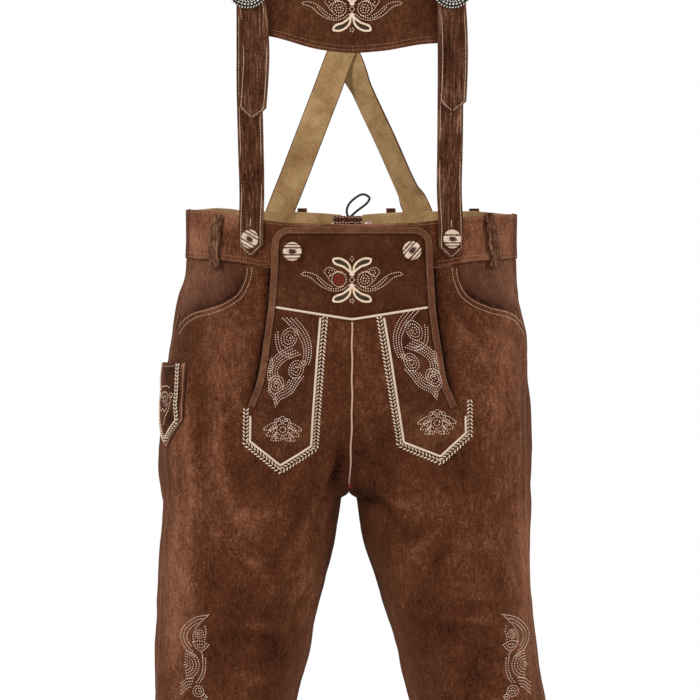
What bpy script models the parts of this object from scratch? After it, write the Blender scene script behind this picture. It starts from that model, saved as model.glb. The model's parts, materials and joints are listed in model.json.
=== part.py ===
"""Knee-length lederhosen with a drop-front flap and crossed braces, worn form, no wearer.

Metres, +Z up, front towards -Y, the wearer's left towards +X. The origin is the middle of the
wearer's waist. The trousers lie on one worn form, given by FORM as rows of half sections, and
each piece of leather is a wall of its own, a set distance in or out from that form.
"""

import math

import bpy
import bmesh
from mathutils import Vector

for old in list(bpy.data.objects):
    bpy.data.objects.remove(old, do_unlink=True)

# Leather and gaps.
HIDE = 0.0020
BAND = 0.0030
TRIM = 0.0014
SEAM = 0.0002            # half the gap between two pieces that meet edge to edge
REST = 0.0009            # gap under a piece that lies on another
BEHIND = 0.0019          # gap in front of a facing

# The worn form: how far it reaches to the wearer's left and right of its middle, where that
# middle is, its reach to the front and back, and half the space between the legs.
FORM_COLUMNS = ("z", "left", "right", "middle", "front", "back", "between")
FORM = (
    (0.040, 0.1635, 0.1645, 0.0000, 0.1150, 0.1140, 0.0000),
    (0.000, 0.1630, 0.1640, 0.0000, 0.1175, 0.1165, 0.0000),
    (-0.030, 0.1635, 0.1655, 0.0000, 0.1200, 0.1210, 0.0000),
    (-0.060, 0.1660, 0.1725, 0.0000, 0.1225, 0.1290, 0.0000),
    (-0.100, 0.1745, 0.1800, 0.0000, 0.1240, 0.1370, 0.0000),
    (-0.160, 0.1760, 0.1860, 0.0000, 0.1225, 0.1430, 0.0000),
    (-0.222, 0.1805, 0.1910, -0.0015, 0.1170, 0.1400, 0.0000),
    (-0.254, 0.1810, 0.1860, -0.0030, 0.1130, 0.1340, 0.0002),
    (-0.258, 0.1808, 0.1855, -0.0030, 0.1125, 0.1330, 0.0092),
    (-0.264, 0.1805, 0.1845, -0.0030, 0.1118, 0.1310, 0.0108),
    (-0.302, 0.1795, 0.1870, -0.0030, 0.1080, 0.1170, 0.0155),
    (-0.342, 0.1795, 0.1915, -0.0015, 0.1045, 0.1060, 0.0275),
    (-0.382, 0.1810, 0.1940, 0.0000, 0.1000, 0.0980, 0.0390),
    (-0.422, 0.1830, 0.1980, 0.0020, 0.0940, 0.0900, 0.0485),
    (-0.462, 0.1905, 0.1970, 0.0015, 0.0880, 0.0820, 0.0590),
    (-0.520, 0.1960, 0.1965, 0.0000, 0.0800, 0.0740, 0.0710),
    (-0.585, 0.1980, 0.1980, 0.0000, 0.0730, 0.0680, 0.0800),
)
TRUNK_FULLNESS = 2.4      # 2 is an ellipse, more is fuller at the corners
LEG_FULLNESS = 2.15
FORK_TOP = -0.150         # where the centre seams start to curve under
CROTCH = -0.254
LEG_TOP = -0.120          # where the trunk starts to part into legs
LEG_WHOLE = -0.340        # where each leg is a plain tube
HEM = -0.580
SIDE_SEAM = ((0.04, 0.425), (-0.20, 0.425), (-0.32, 0.440), (-0.585, 0.445))

# Lines on the front, as heights or distances from the middle.
WAIST_SEAM = ((0.000, -0.0305), (0.089, -0.0300), (0.108, -0.0260), (0.128, -0.0232), (0.163, -0.0205))
FRONT_RIM = ((0.000, 0.0130), (0.063, 0.0145), (0.088, 0.0175), (0.122, 0.0215), (0.163, 0.0245))
BACK_SEAM = ((0.000, -0.0260), (0.163, -0.0205))
BACK_RIM = ((0.000, 0.0255), (0.020, 0.0270), (0.060, 0.0290), (0.120, 0.0290), (0.163, 0.0245))
YOKE_SEAM = ((0.000, -0.0820), (0.0820, -0.0688))
YOKE_HALF = 0.0815
FLAP_TOP = 0.0105
FLAP_CORNER = 0.018
FLAP_END = -0.166         # where the slits beside the flap end
SLIT = ((0.0105, 0.0785), (-0.007, 0.0786), (-0.064, 0.0815), (-0.108, 0.0873), (-0.143, 0.0938),
        (-0.166, 0.1030), (-0.180, 0.1080))
SLIT_HALF = 0.0008
BINDING = 0.0075
FLAP_LIFT = ((0.02, 0.0036), (-0.085, 0.0036), (-0.120, 0.0024), (-0.150, 0.0008), (-0.166, 0.0))
POCKET_MOUTH = ((0.1045, -0.0273), (0.1065, -0.0410), (0.1130, -0.0545), (0.1235, -0.0630),
                (0.1390, -0.0695), (0.1560, -0.0740), (0.1680, -0.0815), (0.1760, -0.0920))
POCKET_DEPTH = -0.130

# The panels sewn on below the flap: inner edge, and the three corners of the foot.
APPLIQUE = {
    "left": {"inner": ((-0.074, 0.0316), (-0.111, 0.0380), (-0.157, 0.0454), (-0.202, 0.0534)),
             "tip": (0.0880, -0.2160), "corner": (0.1110, -0.1940)},
    "right": {"inner": ((-0.074, 0.0318), (-0.112, 0.0352), (-0.160, 0.0388), (-0.206, 0.0424)),
              "tip": (0.0720, -0.2250), "corner": (0.1000, -0.2020)},
}
PIPING = 0.0020

# Braces.
STRAP = 0.0285
STRAP_WALL = 0.0020
STRAP_POINT = 0.0105
ON_BAND = 0.0012          # a flat strap clears the round waistband by this
STRAP_AT = {"left": 0.098, "right": -0.102}
STRAP_FOOT = {"left": (-0.0015, -0.0208), "right": (0.0034, -0.0190)}
BACK_STRAP_AT = {"left": -0.072, "right": 0.066}
TURN = math.radians(38)
SHOULDER = 0.452
BUCKLE_Z = 0.247
END_Z = {"left": 0.131, "right": 0.1245}
CHEST_TOP = 0.279
CHEST_HALF = 0.1135
BUTTON = 0.0095
BUTTON_HEIGHT = 0.0034
LOOP_WIDTH = 0.0095
LOOP_WALL = 0.0020
LOOP_GAP = 0.0030
LACE = 0.0024

PAINT = {
    "suede": (0.100, 0.035, 0.018, 0.88, 0.0),
    "suede_dark": (0.070, 0.025, 0.014, 0.90, 0.0),
    "cord": (0.800, 0.620, 0.500, 0.80, 0.0),
    "horn": (0.780, 0.680, 0.520, 0.45, 0.0),
    "silver": (0.620, 0.600, 0.570, 0.35, 1.0),
    "lace": (0.035, 0.045, 0.040, 0.85, 0.0),
}


def paint(name):
    """The material of one finish, made once."""
    material = bpy.data.materials.get(name)
    if material is None:
        material = bpy.data.materials.new(name)
        material.use_nodes = True
        red, green, blue, rough, metal = PAINT[name]
        shader = material.node_tree.nodes["Principled BSDF"]
        shader.inputs["Base Color"].default_value = (red, green, blue, 1.0)
        shader.inputs["Roughness"].default_value = rough
        shader.inputs["Metallic"].default_value = metal
    return material


# ---------------------------------------------------------------- smooth tables

def straight(rows, at):
    """The value at one place of a table of (place, value) rows, straight between rows."""
    rows = sorted(rows)
    if at <= rows[0][0]:
        return rows[0][1]
    for (a, low), (b, high) in zip(rows, rows[1:]):
        if at <= b:
            return low + (high - low) * (at - a) / (b - a)
    return rows[-1][1]


def slopes(places, values):
    """Slopes at the rows that keep a cubic through them from overshooting."""
    steps = [(values[i + 1] - values[i]) / (places[i + 1] - places[i]) for i in range(len(places) - 1)]
    found = [steps[0]]
    for before, after in zip(steps, steps[1:]):
        found.append(0.0 if before * after <= 0 else 2 * before * after / (before + after))
    return found + [steps[-1]]


def smooth(rows, at):
    """The value at one place of a table of (place, value) rows, on a smooth curve through them."""
    rows = sorted(rows)
    places = [row[0] for row in rows]
    values = [row[1] for row in rows]
    if at <= places[0]:
        return values[0]
    if at >= places[-1]:
        return values[-1]
    lean = slopes(places, values)
    i = max(k for k in range(len(places) - 1) if places[k] <= at)
    span = places[i + 1] - places[i]
    u = (at - places[i]) / span
    return (values[i] * (1 + 2 * u) * (1 - u) ** 2 + values[i + 1] * u * u * (3 - 2 * u)
            + span * lean[i] * u * (1 - u) ** 2 - span * lean[i + 1] * u * u * (1 - u))


FORM_AT = {name: [(row[0], row[k]) for row in FORM] for k, name in enumerate(FORM_COLUMNS)}


def form(name, z):
    return smooth(FORM_AT[name], z)


# ---------------------------------------------------------------- the worn form

def power(value, fullness):
    return math.copysign(abs(value) ** (2 / fullness), value)


def section(side, t, z):
    """One half's form: t runs from 0, the front edge, by 0.5, the side, to 1, the back edge."""
    width = form(side, z)
    depth = form("front", z) if t < 0.5 else form("back", z)
    turn = math.pi * (t - 0.5)
    trunk = (width * power(math.cos(turn), TRUNK_FULLNESS), depth * power(math.sin(turn), TRUNK_FULLNESS))
    if z >= LEG_TOP:
        return trunk
    between = form("between", z) if z < CROTCH else 0.0
    middle = (width + between) / 2
    reach = (width - between) / 2
    leg = (middle + reach * power(math.cos(2 * turn), LEG_FULLNESS),
           depth * power(math.sin(2 * turn), LEG_FULLNESS))
    under = min(1.0, max(0.0, (FORK_TOP - z) / (FORK_TOP - CROTCH)))
    at_seam = 1 - math.sqrt(1 - under * under)
    down = min(1.0, (LEG_TOP - z) / (LEG_TOP - LEG_WHOLE))
    elsewhere = down * down * (3 - 2 * down)
    near = abs(2 * t - 1) ** 7
    share = at_seam * near + elsewhere * (1 - near)
    return tuple(a + (b - a) * share for a, b in zip(trunk, leg))


def out_of(side, t, z):
    """The way out from one half's form, square to it, as on the left half."""
    step = 0.002
    low, high = max(0.0, t - step), min(1.0, t + step)
    across = Vector((*section(side, high, z), z)) - Vector((*section(side, low, z), z))
    up = Vector((*section(side, t, z + step), z + step)) - Vector((*section(side, t, z - step), z - step))
    way = across.cross(up)
    if (t < 0.001 or t > 0.999) and z > CROTCH:
        way.x = 0.0
    return way.normalized()


def sign(side):
    return 1 if side == "left" else -1


def at(side, t, z, out=0.0):
    """A point of the form, moved out; each half keeps to its own side of the seams."""
    x, y = section(side, t, z)
    point = Vector((x, y, z)) + out_of(side, t, z) * out
    point.x = max(point.x, SEAM)
    if t < 0.001:
        point.y = min(point.y, -SEAM)
    if t > 0.999:
        point.y = max(point.y, SEAM)
    point.x = form("middle", z) + sign(side) * point.x
    return point


def t_at(side, x, z, low=0.0, high=0.5):
    """Where the form is this far from its own middle: on the front, or from 0.5 to 1 on the back."""
    rising = high <= 0.5
    for _ in range(40):
        middle = (low + high) / 2
        if (section(side, middle, z)[0] < x) == rising:
            low = middle
        else:
            high = middle
    return (low + high) / 2


def on_front(x, z, out=0.0):
    """A point on the front at this place across and this height, and the way out there."""
    away = x - form("middle", z)
    side = "left" if away >= 0 else "right"
    t = t_at(side, abs(away), z)
    way = out_of(side, t, z)
    way.x *= sign(side)
    deep = section(side, t, z)[1]
    return Vector((x, deep, z)) + way * out, way


def on_back(x, z, out=0.0):
    """A point on the back at this place across and this height, and the way out there."""
    away = x - form("middle", z)
    side = "left" if away >= 0 else "right"
    t = t_at(side, abs(away), z, 0.5, 1.0)
    way = out_of(side, t, z)
    way.x *= sign(side)
    return Vector((x, section(side, t, z)[1], z)) + way * out, way


def side_seam(z):
    return smooth(SIDE_SEAM, z)


def slit(z):
    return smooth(SLIT, z)


def lift(z):
    return straight(FLAP_LIFT, z)


# ---------------------------------------------------------------- walls and ribbons

def keep(name, mesh, finish, smooth_angle=50):
    mesh.name = name
    made = bpy.data.objects.new(name, mesh)
    bpy.context.scene.collection.objects.link(made)
    mesh.materials.append(paint(finish))
    mesh.shade_smooth()
    mesh.set_sharp_from_angle(angle=math.radians(smooth_angle))
    return made


def wall(name, outer, inner, quads, finish):
    """A closed wall between two faces that share the same quads."""
    work = bmesh.new()
    tops = [work.verts.new(p) for p in outer]
    lows = [work.verts.new(p) for p in inner]
    edges = {}
    for quad in quads:
        work.faces.new([tops[i] for i in quad])
        work.faces.new([lows[i] for i in reversed(quad)])
        for a, b in zip(quad, quad[1:] + quad[:1]):
            edges.setdefault(frozenset((a, b)), []).append((a, b))
    for uses in edges.values():
        if len(uses) == 1:
            a, b = uses[0]
            work.faces.new([tops[b], tops[a], lows[a], lows[b]])
    bmesh.ops.recalc_face_normals(work, faces=work.faces)
    mesh = bpy.data.meshes.new(name)
    work.to_mesh(mesh)
    work.free()
    return keep(name, mesh, finish)


def grid(columns, rows):
    """The quads of a grid whose points run row by row."""
    return [[r * columns + c, r * columns + c + 1, (r + 1) * columns + c + 1, (r + 1) * columns + c]
            for r in range(rows - 1) for c in range(columns - 1)]


def patch(name, columns, rows, place, low, high, finish):
    """A wall over a grid: place(u, v, out) gives a point, with u and v from 0 to 1."""
    steps = [(c / (columns - 1), r / (rows - 1)) for r in range(rows) for c in range(columns)]
    outer = [place(u, v, high) for u, v in steps]
    inner = [place(u, v, low) for u, v in steps]
    return wall(name, outer, inner, grid(columns, rows), finish)


def spline(points, count):
    """Evenly numbered points on a smooth curve through the given ones, of any length each."""
    rows = [Vector(p) for p in points]
    ends = [2 * rows[0] - rows[1]] + rows + [2 * rows[-1] - rows[-2]]
    made = []
    for k in range(count):
        whole = k / (count - 1) * (len(rows) - 1)
        i = min(int(whole), len(rows) - 2)
        u = whole - i
        a, b, c, d = ends[i:i + 4]
        made.append(0.5 * (2 * b + (c - a) * u + (2 * a - 5 * b + 4 * c - d) * u * u
                           + (3 * b - a - 3 * c + d) * u ** 3))
    return made


def ribbon(name, centres, ways, widths, thick, finish):
    """A strap along its centres, facing each way, as wide as said there."""
    outer, inner = [], []
    for i, centre in enumerate(centres):
        before = centres[max(i - 1, 0)]
        after = centres[min(i + 1, len(centres) - 1)]
        along = (after - before).normalized()
        way = (ways[i] - along * ways[i].dot(along)).normalized()
        across = along.cross(way)
        for share in (-0.5, 0.5):
            edge = centre + across * (share * widths[i])
            outer.append(edge + way * thick / 2)
            inner.append(edge - way * thick / 2)
    return wall(name, outer, inner, grid(2, len(centres)), finish)


def lathe(name, profile, centre, way, finish, turns=20):
    """A turned piece: profile rows are (radius, height along the way), closed on the axis or in a ring."""
    work = bmesh.new()
    way = way.normalized()
    side = way.cross(Vector((0, 0, 1)))
    side = side.normalized() if side.length > 0.1 else Vector((1, 0, 0))
    other = way.cross(side)
    rings = []
    for radius, height in profile:
        middle = centre + way * height
        if radius == 0:
            rings.append([work.verts.new(middle)])
            continue
        angles = [2 * math.pi * k / turns for k in range(turns)]
        rings.append([work.verts.new(middle + (side * math.cos(a) + other * math.sin(a)) * radius)
                      for a in angles])
    closed = len(rings[0]) > 1
    pairs = list(zip(rings, rings[1:])) + ([(rings[-1], rings[0])] if closed else [])
    for a, b in pairs:
        for k in range(turns):
            n = (k + 1) % turns
            if len(a) == 1:
                work.faces.new([a[0], b[k], b[n]])
            elif len(b) == 1:
                work.faces.new([a[k], a[n], b[0]])
            else:
                work.faces.new([a[k], a[n], b[n], b[k]])
    bmesh.ops.recalc_face_normals(work, faces=work.faces)
    mesh = bpy.data.meshes.new(name)
    work.to_mesh(mesh)
    work.free()
    return keep(name, mesh, finish, 35)


def hole(target, centre, way, radius):
    """A round hole, cut with a hidden cylinder."""
    cutter = lathe(target.name + "_hole", ((0, -0.01), (radius, -0.01), (radius, 0.01), (0, 0.01)),
                   centre, way, "lace", 12)
    cutter.hide_render = True
    cutter.display_type = "WIRE"
    cut = target.modifiers.new("hole", "BOOLEAN")
    cut.operation = "DIFFERENCE"
    cut.object = cutter


# ---------------------------------------------------------------- trouser panels

SLIT_COLUMNS = 5          # cells from the centre seam to the slit
SIDE_COLUMNS = 8          # cells from the slit to the side seam
SLIT_ROWS = 6             # cells down the slit
SEAT_ANGLES = 6           # cells down the curve of the fork


def low_rows():
    """Heights of the rows below the slit: round the fork, then down the leg to the hem."""
    start = math.asin((FORK_TOP - FLAP_END) / (FORK_TOP - CROTCH))
    fork = [FORK_TOP - (FORK_TOP - CROTCH) * math.sin(start + (math.pi / 2 - start) * k / SEAT_ANGLES)
            for k in range(1, SEAT_ANGLES + 1)]
    leg = [-0.258, -0.264, -0.282, -0.310, -0.345, -0.385, -0.425, -0.465, -0.520, HEM]
    return fork + leg


def slit_t(side, z, edge):
    """Where the slit's edge is; below the slit, its column runs on down the leg."""
    if z >= FLAP_END:
        return t_at(side, slit(z) + edge, z)
    held = t_at(side, slit(FLAP_END), FLAP_END)
    return held + (0.235 - held) * min(1.0, (FLAP_END - z) / 0.12)


def front_panel(side):
    """Half the front with its leg: the flap's half inside the slit is lifted, the rest is not."""
    mouth_start = 3
    across = [straight(SLIT, -0.03) + SLIT_HALF]
    across += [across[0] + (POCKET_MOUTH[0][0] - across[0]) * k / mouth_start for k in range(1, mouth_start)]
    top = [(x, straight(WAIST_SEAM, x) - SEAM) for x in across]
    bends = SIDE_COLUMNS - mouth_start
    for k in range(bends + 1):
        whole = k / bends * (len(POCKET_MOUTH) - 1)
        i = min(int(whole), len(POCKET_MOUTH) - 2)
        u = whole - i
        top.append(tuple(a + (b - a) * u for a, b in zip(POCKET_MOUTH[i], POCKET_MOUTH[i + 1])))
    edge = side_seam(-0.09) - SEAM / 0.5
    top_t = [t_at(side, x, z) for x, z in top[:-1]] + [edge]
    outer, inner, where = [], [], {}

    def add(key, t, z, out):
        where[key] = len(outer)
        outer.append(at(side, t, z, out + HIDE))
        inner.append(at(side, t, z, out))

    for row in range(SLIT_ROWS + 1):
        share = row / SLIT_ROWS
        for c in range(SLIT_COLUMNS + 1):
            if row == SLIT_ROWS and c == SLIT_COLUMNS:
                continue
            part = c / SLIT_COLUMNS
            seam_z = straight(YOKE_SEAM, part * YOKE_HALF) - SEAM
            z = seam_z + (FLAP_END - seam_z) * share
            add(("flap", row, c), part * slit_t(side, z, -SLIT_HALF), z, lift(z))
        for c in range(SIDE_COLUMNS + 1):
            z = top[c][1] + (FLAP_END - top[c][1]) * share
            start = slit_t(side, z, SLIT_HALF if row < SLIT_ROWS else 0.0)
            plain = start + (side_seam(z) - SEAM / 0.5 - start) * c / SIDE_COLUMNS
            add(("body", row, c), top_t[c] + (plain - top_t[c]) * share if c else start, z, 0.0)
    where["flap", SLIT_ROWS, SLIT_COLUMNS] = where["body", SLIT_ROWS, 0]
    quads = []
    for part, cells in (("flap", SLIT_COLUMNS), ("body", SIDE_COLUMNS)):
        for row in range(SLIT_ROWS):
            for c in range(cells):
                quads.append([where[part, row, c], where[part, row, c + 1],
                              where[part, row + 1, c + 1], where[part, row + 1, c]])
    above = [where["flap", SLIT_ROWS, c] for c in range(SLIT_COLUMNS)]
    above += [where["body", SLIT_ROWS, c] for c in range(SIDE_COLUMNS + 1)]
    for z in low_rows():
        middle = slit_t(side, z, 0.0)
        line = []
        for c in range(SLIT_COLUMNS + SIDE_COLUMNS + 1):
            if c <= SLIT_COLUMNS:
                t = middle * c / SLIT_COLUMNS
            else:
                t = middle + (side_seam(z) - SEAM / 0.5 - middle) * (c - SLIT_COLUMNS) / SIDE_COLUMNS
            line.append(len(outer))
            outer.append(at(side, t, z, HIDE))
            inner.append(at(side, t, z, 0.0))
        quads += [[above[c], above[c + 1], line[c + 1], line[c]] for c in range(len(line) - 1)]
        above = line
    return wall("front_" + side, outer, inner, quads, "suede")


def back_panel(side):
    """Half the back with its leg, from the side seam to the centre seam."""
    columns = 12
    heights = [None, -0.055, -0.090, -0.125, -0.150] + low_rows()
    outer, inner = [], []
    for z in heights:
        for c in range(columns):
            seam = z if z is not None else 0.0
            start = side_seam(seam) + SEAM / 0.5
            t = start + (1 - start) * c / (columns - 1)
            level = z
            if z is None:
                level = straight(BACK_SEAM, section(side, t, -0.025)[0]) - SEAM
            outer.append(at(side, t, level, HIDE))
            inner.append(at(side, t, level, 0.0))
    return wall("back_" + side, outer, inner, grid(columns, len(heights)), "suede")


def pocket_facing(side):
    """The side of the hip that shows above the pocket mouth, set in behind the front panel."""
    def place(u, v, out):
        z = POCKET_DEPTH
        for _ in range(3):
            start = t_at(side, max(0.1005, slit(z) + 0.0075), z)
            t = start + (side_seam(z) - SEAM / 0.5 - start) * u
            top = straight(WAIST_SEAM, section(side, t, -0.022)[0]) - SEAM
            z = top + (POCKET_DEPTH - top) * v
        return at(side, t, z, out)
    return patch("pocket_facing_" + side, 8, 6, place, -BEHIND - HIDE, -BEHIND, "suede_dark")


def slit_facing(side):
    """The strip behind the slit beside the flap."""
    top, foot, reach = -0.0310, -0.156, 0.022

    def place(u, v, out):
        z = top + (foot - top) * v
        x = slit(z) + 0.0045 - reach * (1 - u)
        return at(side, t_at(side, x, z), z, out)
    return patch("slit_facing_" + side, 4, 6, place, -BEHIND - HIDE, -BEHIND, "suede_dark")


def waistband_front(side):
    def place(u, v, out):
        t = side_seam(0.0) * u - SEAM / 0.5 * u
        x = section(side, t, 0.0)[0]
        low = straight(WAIST_SEAM, x) + SEAM
        z = low + (straight(FRONT_RIM, x) - low) * v
        return at(side, t, z, out)
    return patch("waistband_front_" + side, 12, 3, place, 0.0, BAND, "suede")


NOTCH_HALF = 0.0110
NOTCH_FOOT = -0.0120


def notch(z):
    """Half the width of the notch in the back waistband."""
    return max(SEAM, NOTCH_HALF * (z - NOTCH_FOOT) / (0.0265 - NOTCH_FOOT))


def waistband_back(side):
    """Half the back waistband, cut back to the notch at the centre."""
    def place(u, v, out):
        x = section(side, side_seam(0.0) + (1 - side_seam(0.0)) * u, 0.0)[0]
        low = straight(BACK_SEAM, x) + SEAM
        z = low + (straight(BACK_RIM, x) - low) * v
        start = side_seam(0.0) + SEAM / 0.5
        end = t_at(side, notch(z), z, 0.5, 1.0) if notch(z) > SEAM else 1.0
        return at(side, start + (end - start) * u, z, out)
    made = patch("waistband_back_" + side, 12, 5, place, 0.0, BAND, "suede")
    for x, z in EYELETS:
        centre, way = on_back(sign(side) * x, z, BAND / 2)
        hole(made, centre, way, 0.0033)
    return made


EYELETS = ((0.0125, -0.0040), (0.0170, 0.0140))


def eyelets():
    """Four turned rings with a flange on each face of the back waistband."""
    inside, barrel, flange, thick = 0.0019, 0.0029, 0.0042, 0.0005
    low, high = -BAND / 2 - 0.0004, BAND / 2 + 0.0004
    profile = ((inside, low - thick), (flange, low - thick), (flange, low), (barrel, low),
               (barrel, high), (flange, high), (flange, high + thick), (inside, high + thick))
    for side in ("left", "right"):
        for level, (x, z) in zip(("low", "high"), EYELETS):
            centre, way = on_back(sign(side) * x, z, BAND / 2)
            lathe("eyelet_" + side + "_" + level, profile, centre, way, "silver", 14)


# ---------------------------------------------------------------- the flap

YOKE_OUT = 0.0036         # the yoke's inner face, clear of the waistband
TRIM_OUT = YOKE_OUT + HIDE + REST


def flap_half(z):
    """Half the flap's width, rounded in at its top corners."""
    down = FLAP_TOP - z
    if down >= FLAP_CORNER:
        return slit(z)
    rise = max(0.0, down)
    return slit(z) - FLAP_CORNER + math.sqrt(FLAP_CORNER ** 2 - (FLAP_CORNER - rise) ** 2)


def flap_yoke():
    """The flap's top, over the waistband, from the flap's top edge to the yoke seam."""
    columns, top_rows, rows = 13, 4, 8
    outer, inner = [], []
    for r in range(rows):
        for c in range(columns):
            side = 2 * c / (columns - 1) - 1
            if r < top_rows:
                z = FLAP_TOP - FLAP_CORNER * (1 - math.cos(math.pi / 2 * r / (top_rows - 1)))
            else:
                low = straight(YOKE_SEAM, abs(side) * YOKE_HALF) + SEAM
                high = FLAP_TOP - FLAP_CORNER
                z = high + (low - high) * (r - top_rows + 1) / (rows - top_rows)
            x = side * (flap_half(z) - SLIT_HALF)
            outer.append(on_front(x, z, YOKE_OUT + HIDE)[0])
            inner.append(on_front(x, z, YOKE_OUT)[0])
    return wall("flap_yoke", outer, inner, grid(columns, rows), "suede_dark")


def binding_line():
    """The flap's outline from the foot of the right slit, over the top, to the foot of the left."""
    left = [(slit(z), z) for z in (-0.166, -0.155, -0.143, -0.126, -0.108, -0.086, -0.064, -0.036, -0.0075)]
    turn = [math.pi / 2 * k / 5 for k in range(1, 6)]
    middle = slit(-0.0075) - FLAP_CORNER
    left += [(middle + FLAP_CORNER * math.cos(a), FLAP_TOP - FLAP_CORNER * (1 - math.sin(a))) for a in turn]
    left += [(0.0405, FLAP_TOP), (0.0205, FLAP_TOP)]
    return [(-x, z) for x, z in left] + [(0.0, FLAP_TOP)] + [(x, z) for x, z in reversed(left)]


def flap_binding():
    line = [Vector(p) for p in binding_line()]
    outer, inner = [], []
    for i, point in enumerate(line):
        along = (line[min(i + 1, len(line) - 1)] - line[max(i - 1, 0)]).normalized()
        inward = Vector((along.y, -along.x))
        for share in (SLIT_HALF / BINDING, 0.5, 1.0):
            x, z = point + inward * (share * BINDING)
            out = TRIM_OUT - YOKE_OUT + lift(z)
            outer.append(on_front(x, z, out + TRIM)[0])
            inner.append(on_front(x, z, out)[0])
    return wall("flap_binding", outer, inner, grid(3, len(line)), "suede")


def applique_foot(side, u):
    """Height of the panel's lower edge at a share of its width."""
    shape = APPLIQUE[side]
    inner_x, inner_z = shape["inner"][-1][1], shape["inner"][-1][0]
    tip_x, tip_z = shape["tip"]
    corner_x, corner_z = shape["corner"]
    bend = (tip_x - inner_x) / (corner_x - inner_x)
    if u <= bend:
        return inner_z + (tip_z - inner_z) * u / bend
    return tip_z + (corner_z - tip_z) * (u - bend) / (1 - bend)


def applique_outer(side, z):
    """The outer edge: beside the flap's binding, then, below the binding's end, down to the corner."""
    corner_x, corner_z = APPLIQUE[side]["corner"]
    if z > FLAP_END - SEAM:
        return slit(z) - BINDING * 1.13 - 2 * SEAM
    return straight(((corner_z, corner_x), (FLAP_END, corner_x - 0.002)), z)


def applique(side):
    """A panel from the yoke seam to its pointed foot, stepped round the end of the binding."""
    columns, high_rows, low_rows_below = 7, 9, 4
    shape = APPLIQUE[side]
    past_z = FLAP_END - 0.0042
    step_z = FLAP_END - 0.0054
    outer, inner = [], []
    for r in range(high_rows + low_rows_below):
        for c in range(columns):
            u = c / (columns - 1)
            z = -0.1
            for _ in range(6):
                edge = applique_outer(side, z if r >= high_rows else max(z, FLAP_END))
                low_x = smooth(shape["inner"], z)
                x = low_x + (edge - low_x) * u
                if r < high_rows:
                    high = straight(YOKE_SEAM, x) - PIPING / 2 - 3 * SEAM
                    z = high + (past_z - high) * r / (high_rows - 1)
                else:
                    z = step_z + (applique_foot(side, u) - step_z) * (r - high_rows) / (low_rows_below - 1)
            out = TRIM_OUT - YOKE_OUT + lift(z)
            outer.append(on_front(sign(side) * x, z, out + TRIM)[0])
            inner.append(on_front(sign(side) * x, z, out)[0])
    return wall("applique_" + side, outer, inner, grid(columns, high_rows + low_rows_below), "suede_dark")


def strip(name, line, width, out, thick, finish):
    """A narrow strip on the front along (across, height) points."""
    line = [Vector(p) for p in line]
    outer, inner = [], []
    for i, point in enumerate(line):
        along = (line[min(i + 1, len(line) - 1)] - line[max(i - 1, 0)]).normalized()
        inward = Vector((along.y, -along.x))
        for share in (-0.5, 0.5):
            x, z = point + inward * (share * width)
            outer.append(on_front(x, z, out(z) + thick)[0])
            inner.append(on_front(x, z, out(z))[0])
    return wall(name, outer, inner, grid(2, len(line)), finish)


def between(a, b, count):
    """Evenly spaced points from a up to b, b left out."""
    return [tuple(p + (q - p) * k / count for p, q in zip(a, b)) for k in range(count)]


def pipings():
    """Pale cord in the yoke seam, down the centre seam and round the two sewn-on panels."""
    end = slit(-0.069) - BINDING - 3 * SEAM
    places = (-end, -0.058, -0.036, -0.018, 0.0, 0.018, 0.036, 0.058, end)
    seam = [(x, straight(YOKE_SEAM, abs(x))) for x in places]
    strip("piping_yoke", seam, PIPING, lambda z: TRIM_OUT, TRIM + 0.0002, "cord")
    steps = [-0.0842, -0.100, -0.115, -0.130, -0.145, -0.156, -0.170, -0.184, -0.197, -0.209, -0.220, -0.229]
    middle = [(form("middle", z), z) for z in steps]
    strip("piping_centre", middle, PIPING, lambda z: lift(z) + HIDE + REST, 0.0010, "cord")
    for side in ("left", "right"):
        shape = APPLIQUE[side]
        gap = PIPING / 2 + 2 * SEAM
        inner = [(smooth(shape["inner"], z) - gap, z)
                 for z in (-0.080, -0.095, -0.111, -0.126, -0.142, -0.157, -0.172, -0.187)]
        heel = (shape["inner"][-1][1] - gap, shape["inner"][-1][0] - gap * 0.6)
        tip = (shape["tip"][0], shape["tip"][1] - gap * 1.3)
        corner = (shape["corner"][0] + gap, shape["corner"][1] - gap * 0.5)
        line = inner + between(heel, tip, 3) + between(tip, corner, 3)
        line += [corner, (corner[0] - 0.0008, -0.178)]
        line = [(sign(side) * x, z) for x, z in line]
        strip("piping_" + side, line, PIPING, lambda z: lift(z) + HIDE + REST, TRIM + 0.0002, "cord")


# ---------------------------------------------------------------- knife pocket and belt loops

KNIFE_TOP, KNIFE_STRAIGHT, KNIFE_TIP = -0.125, -0.181, -0.2095
KNIFE_HALF = 0.031
KNIFE_SWELL = 0.0036


def side_arc(side, z, along, out):
    """A point this far round from the side of the form, forward where it is negative."""
    steps = 24
    t = 0.41
    left = along
    while abs(left) > 1e-5:
        pace = math.copysign(min(abs(left), 0.026 / steps), left)
        here = Vector(section(side, t, z))
        near = Vector(section(side, t + math.copysign(0.002, left), z))
        t += math.copysign(0.002, left) * abs(pace) / (near - here).length
        left -= pace
    return at(side, t, z, out)


def knife_pocket():
    """The narrow pocket for a knife on the right leg, sewn down at its edges, open at its top."""
    columns, rows = 9, 9
    outer, inner = [], []
    for r in range(rows):
        for c in range(columns):
            side = 2 * c / (columns - 1) - 1
            foot = KNIFE_TIP + (KNIFE_STRAIGHT - KNIFE_TIP) * abs(side)
            z = KNIFE_TOP + (foot - KNIFE_TOP) * r / (rows - 1)
            rise = KNIFE_SWELL * (1 - side ** 4) * min(1.0, (1 - r / (rows - 1)) * 3)
            out = HIDE + REST + rise
            outer.append(side_arc("right", z, side * KNIFE_HALF, out + HIDE))
            inner.append(side_arc("right", z, side * KNIFE_HALF, out))
    return wall("knife_pocket", outer, inner, grid(columns, rows), "suede")


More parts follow.
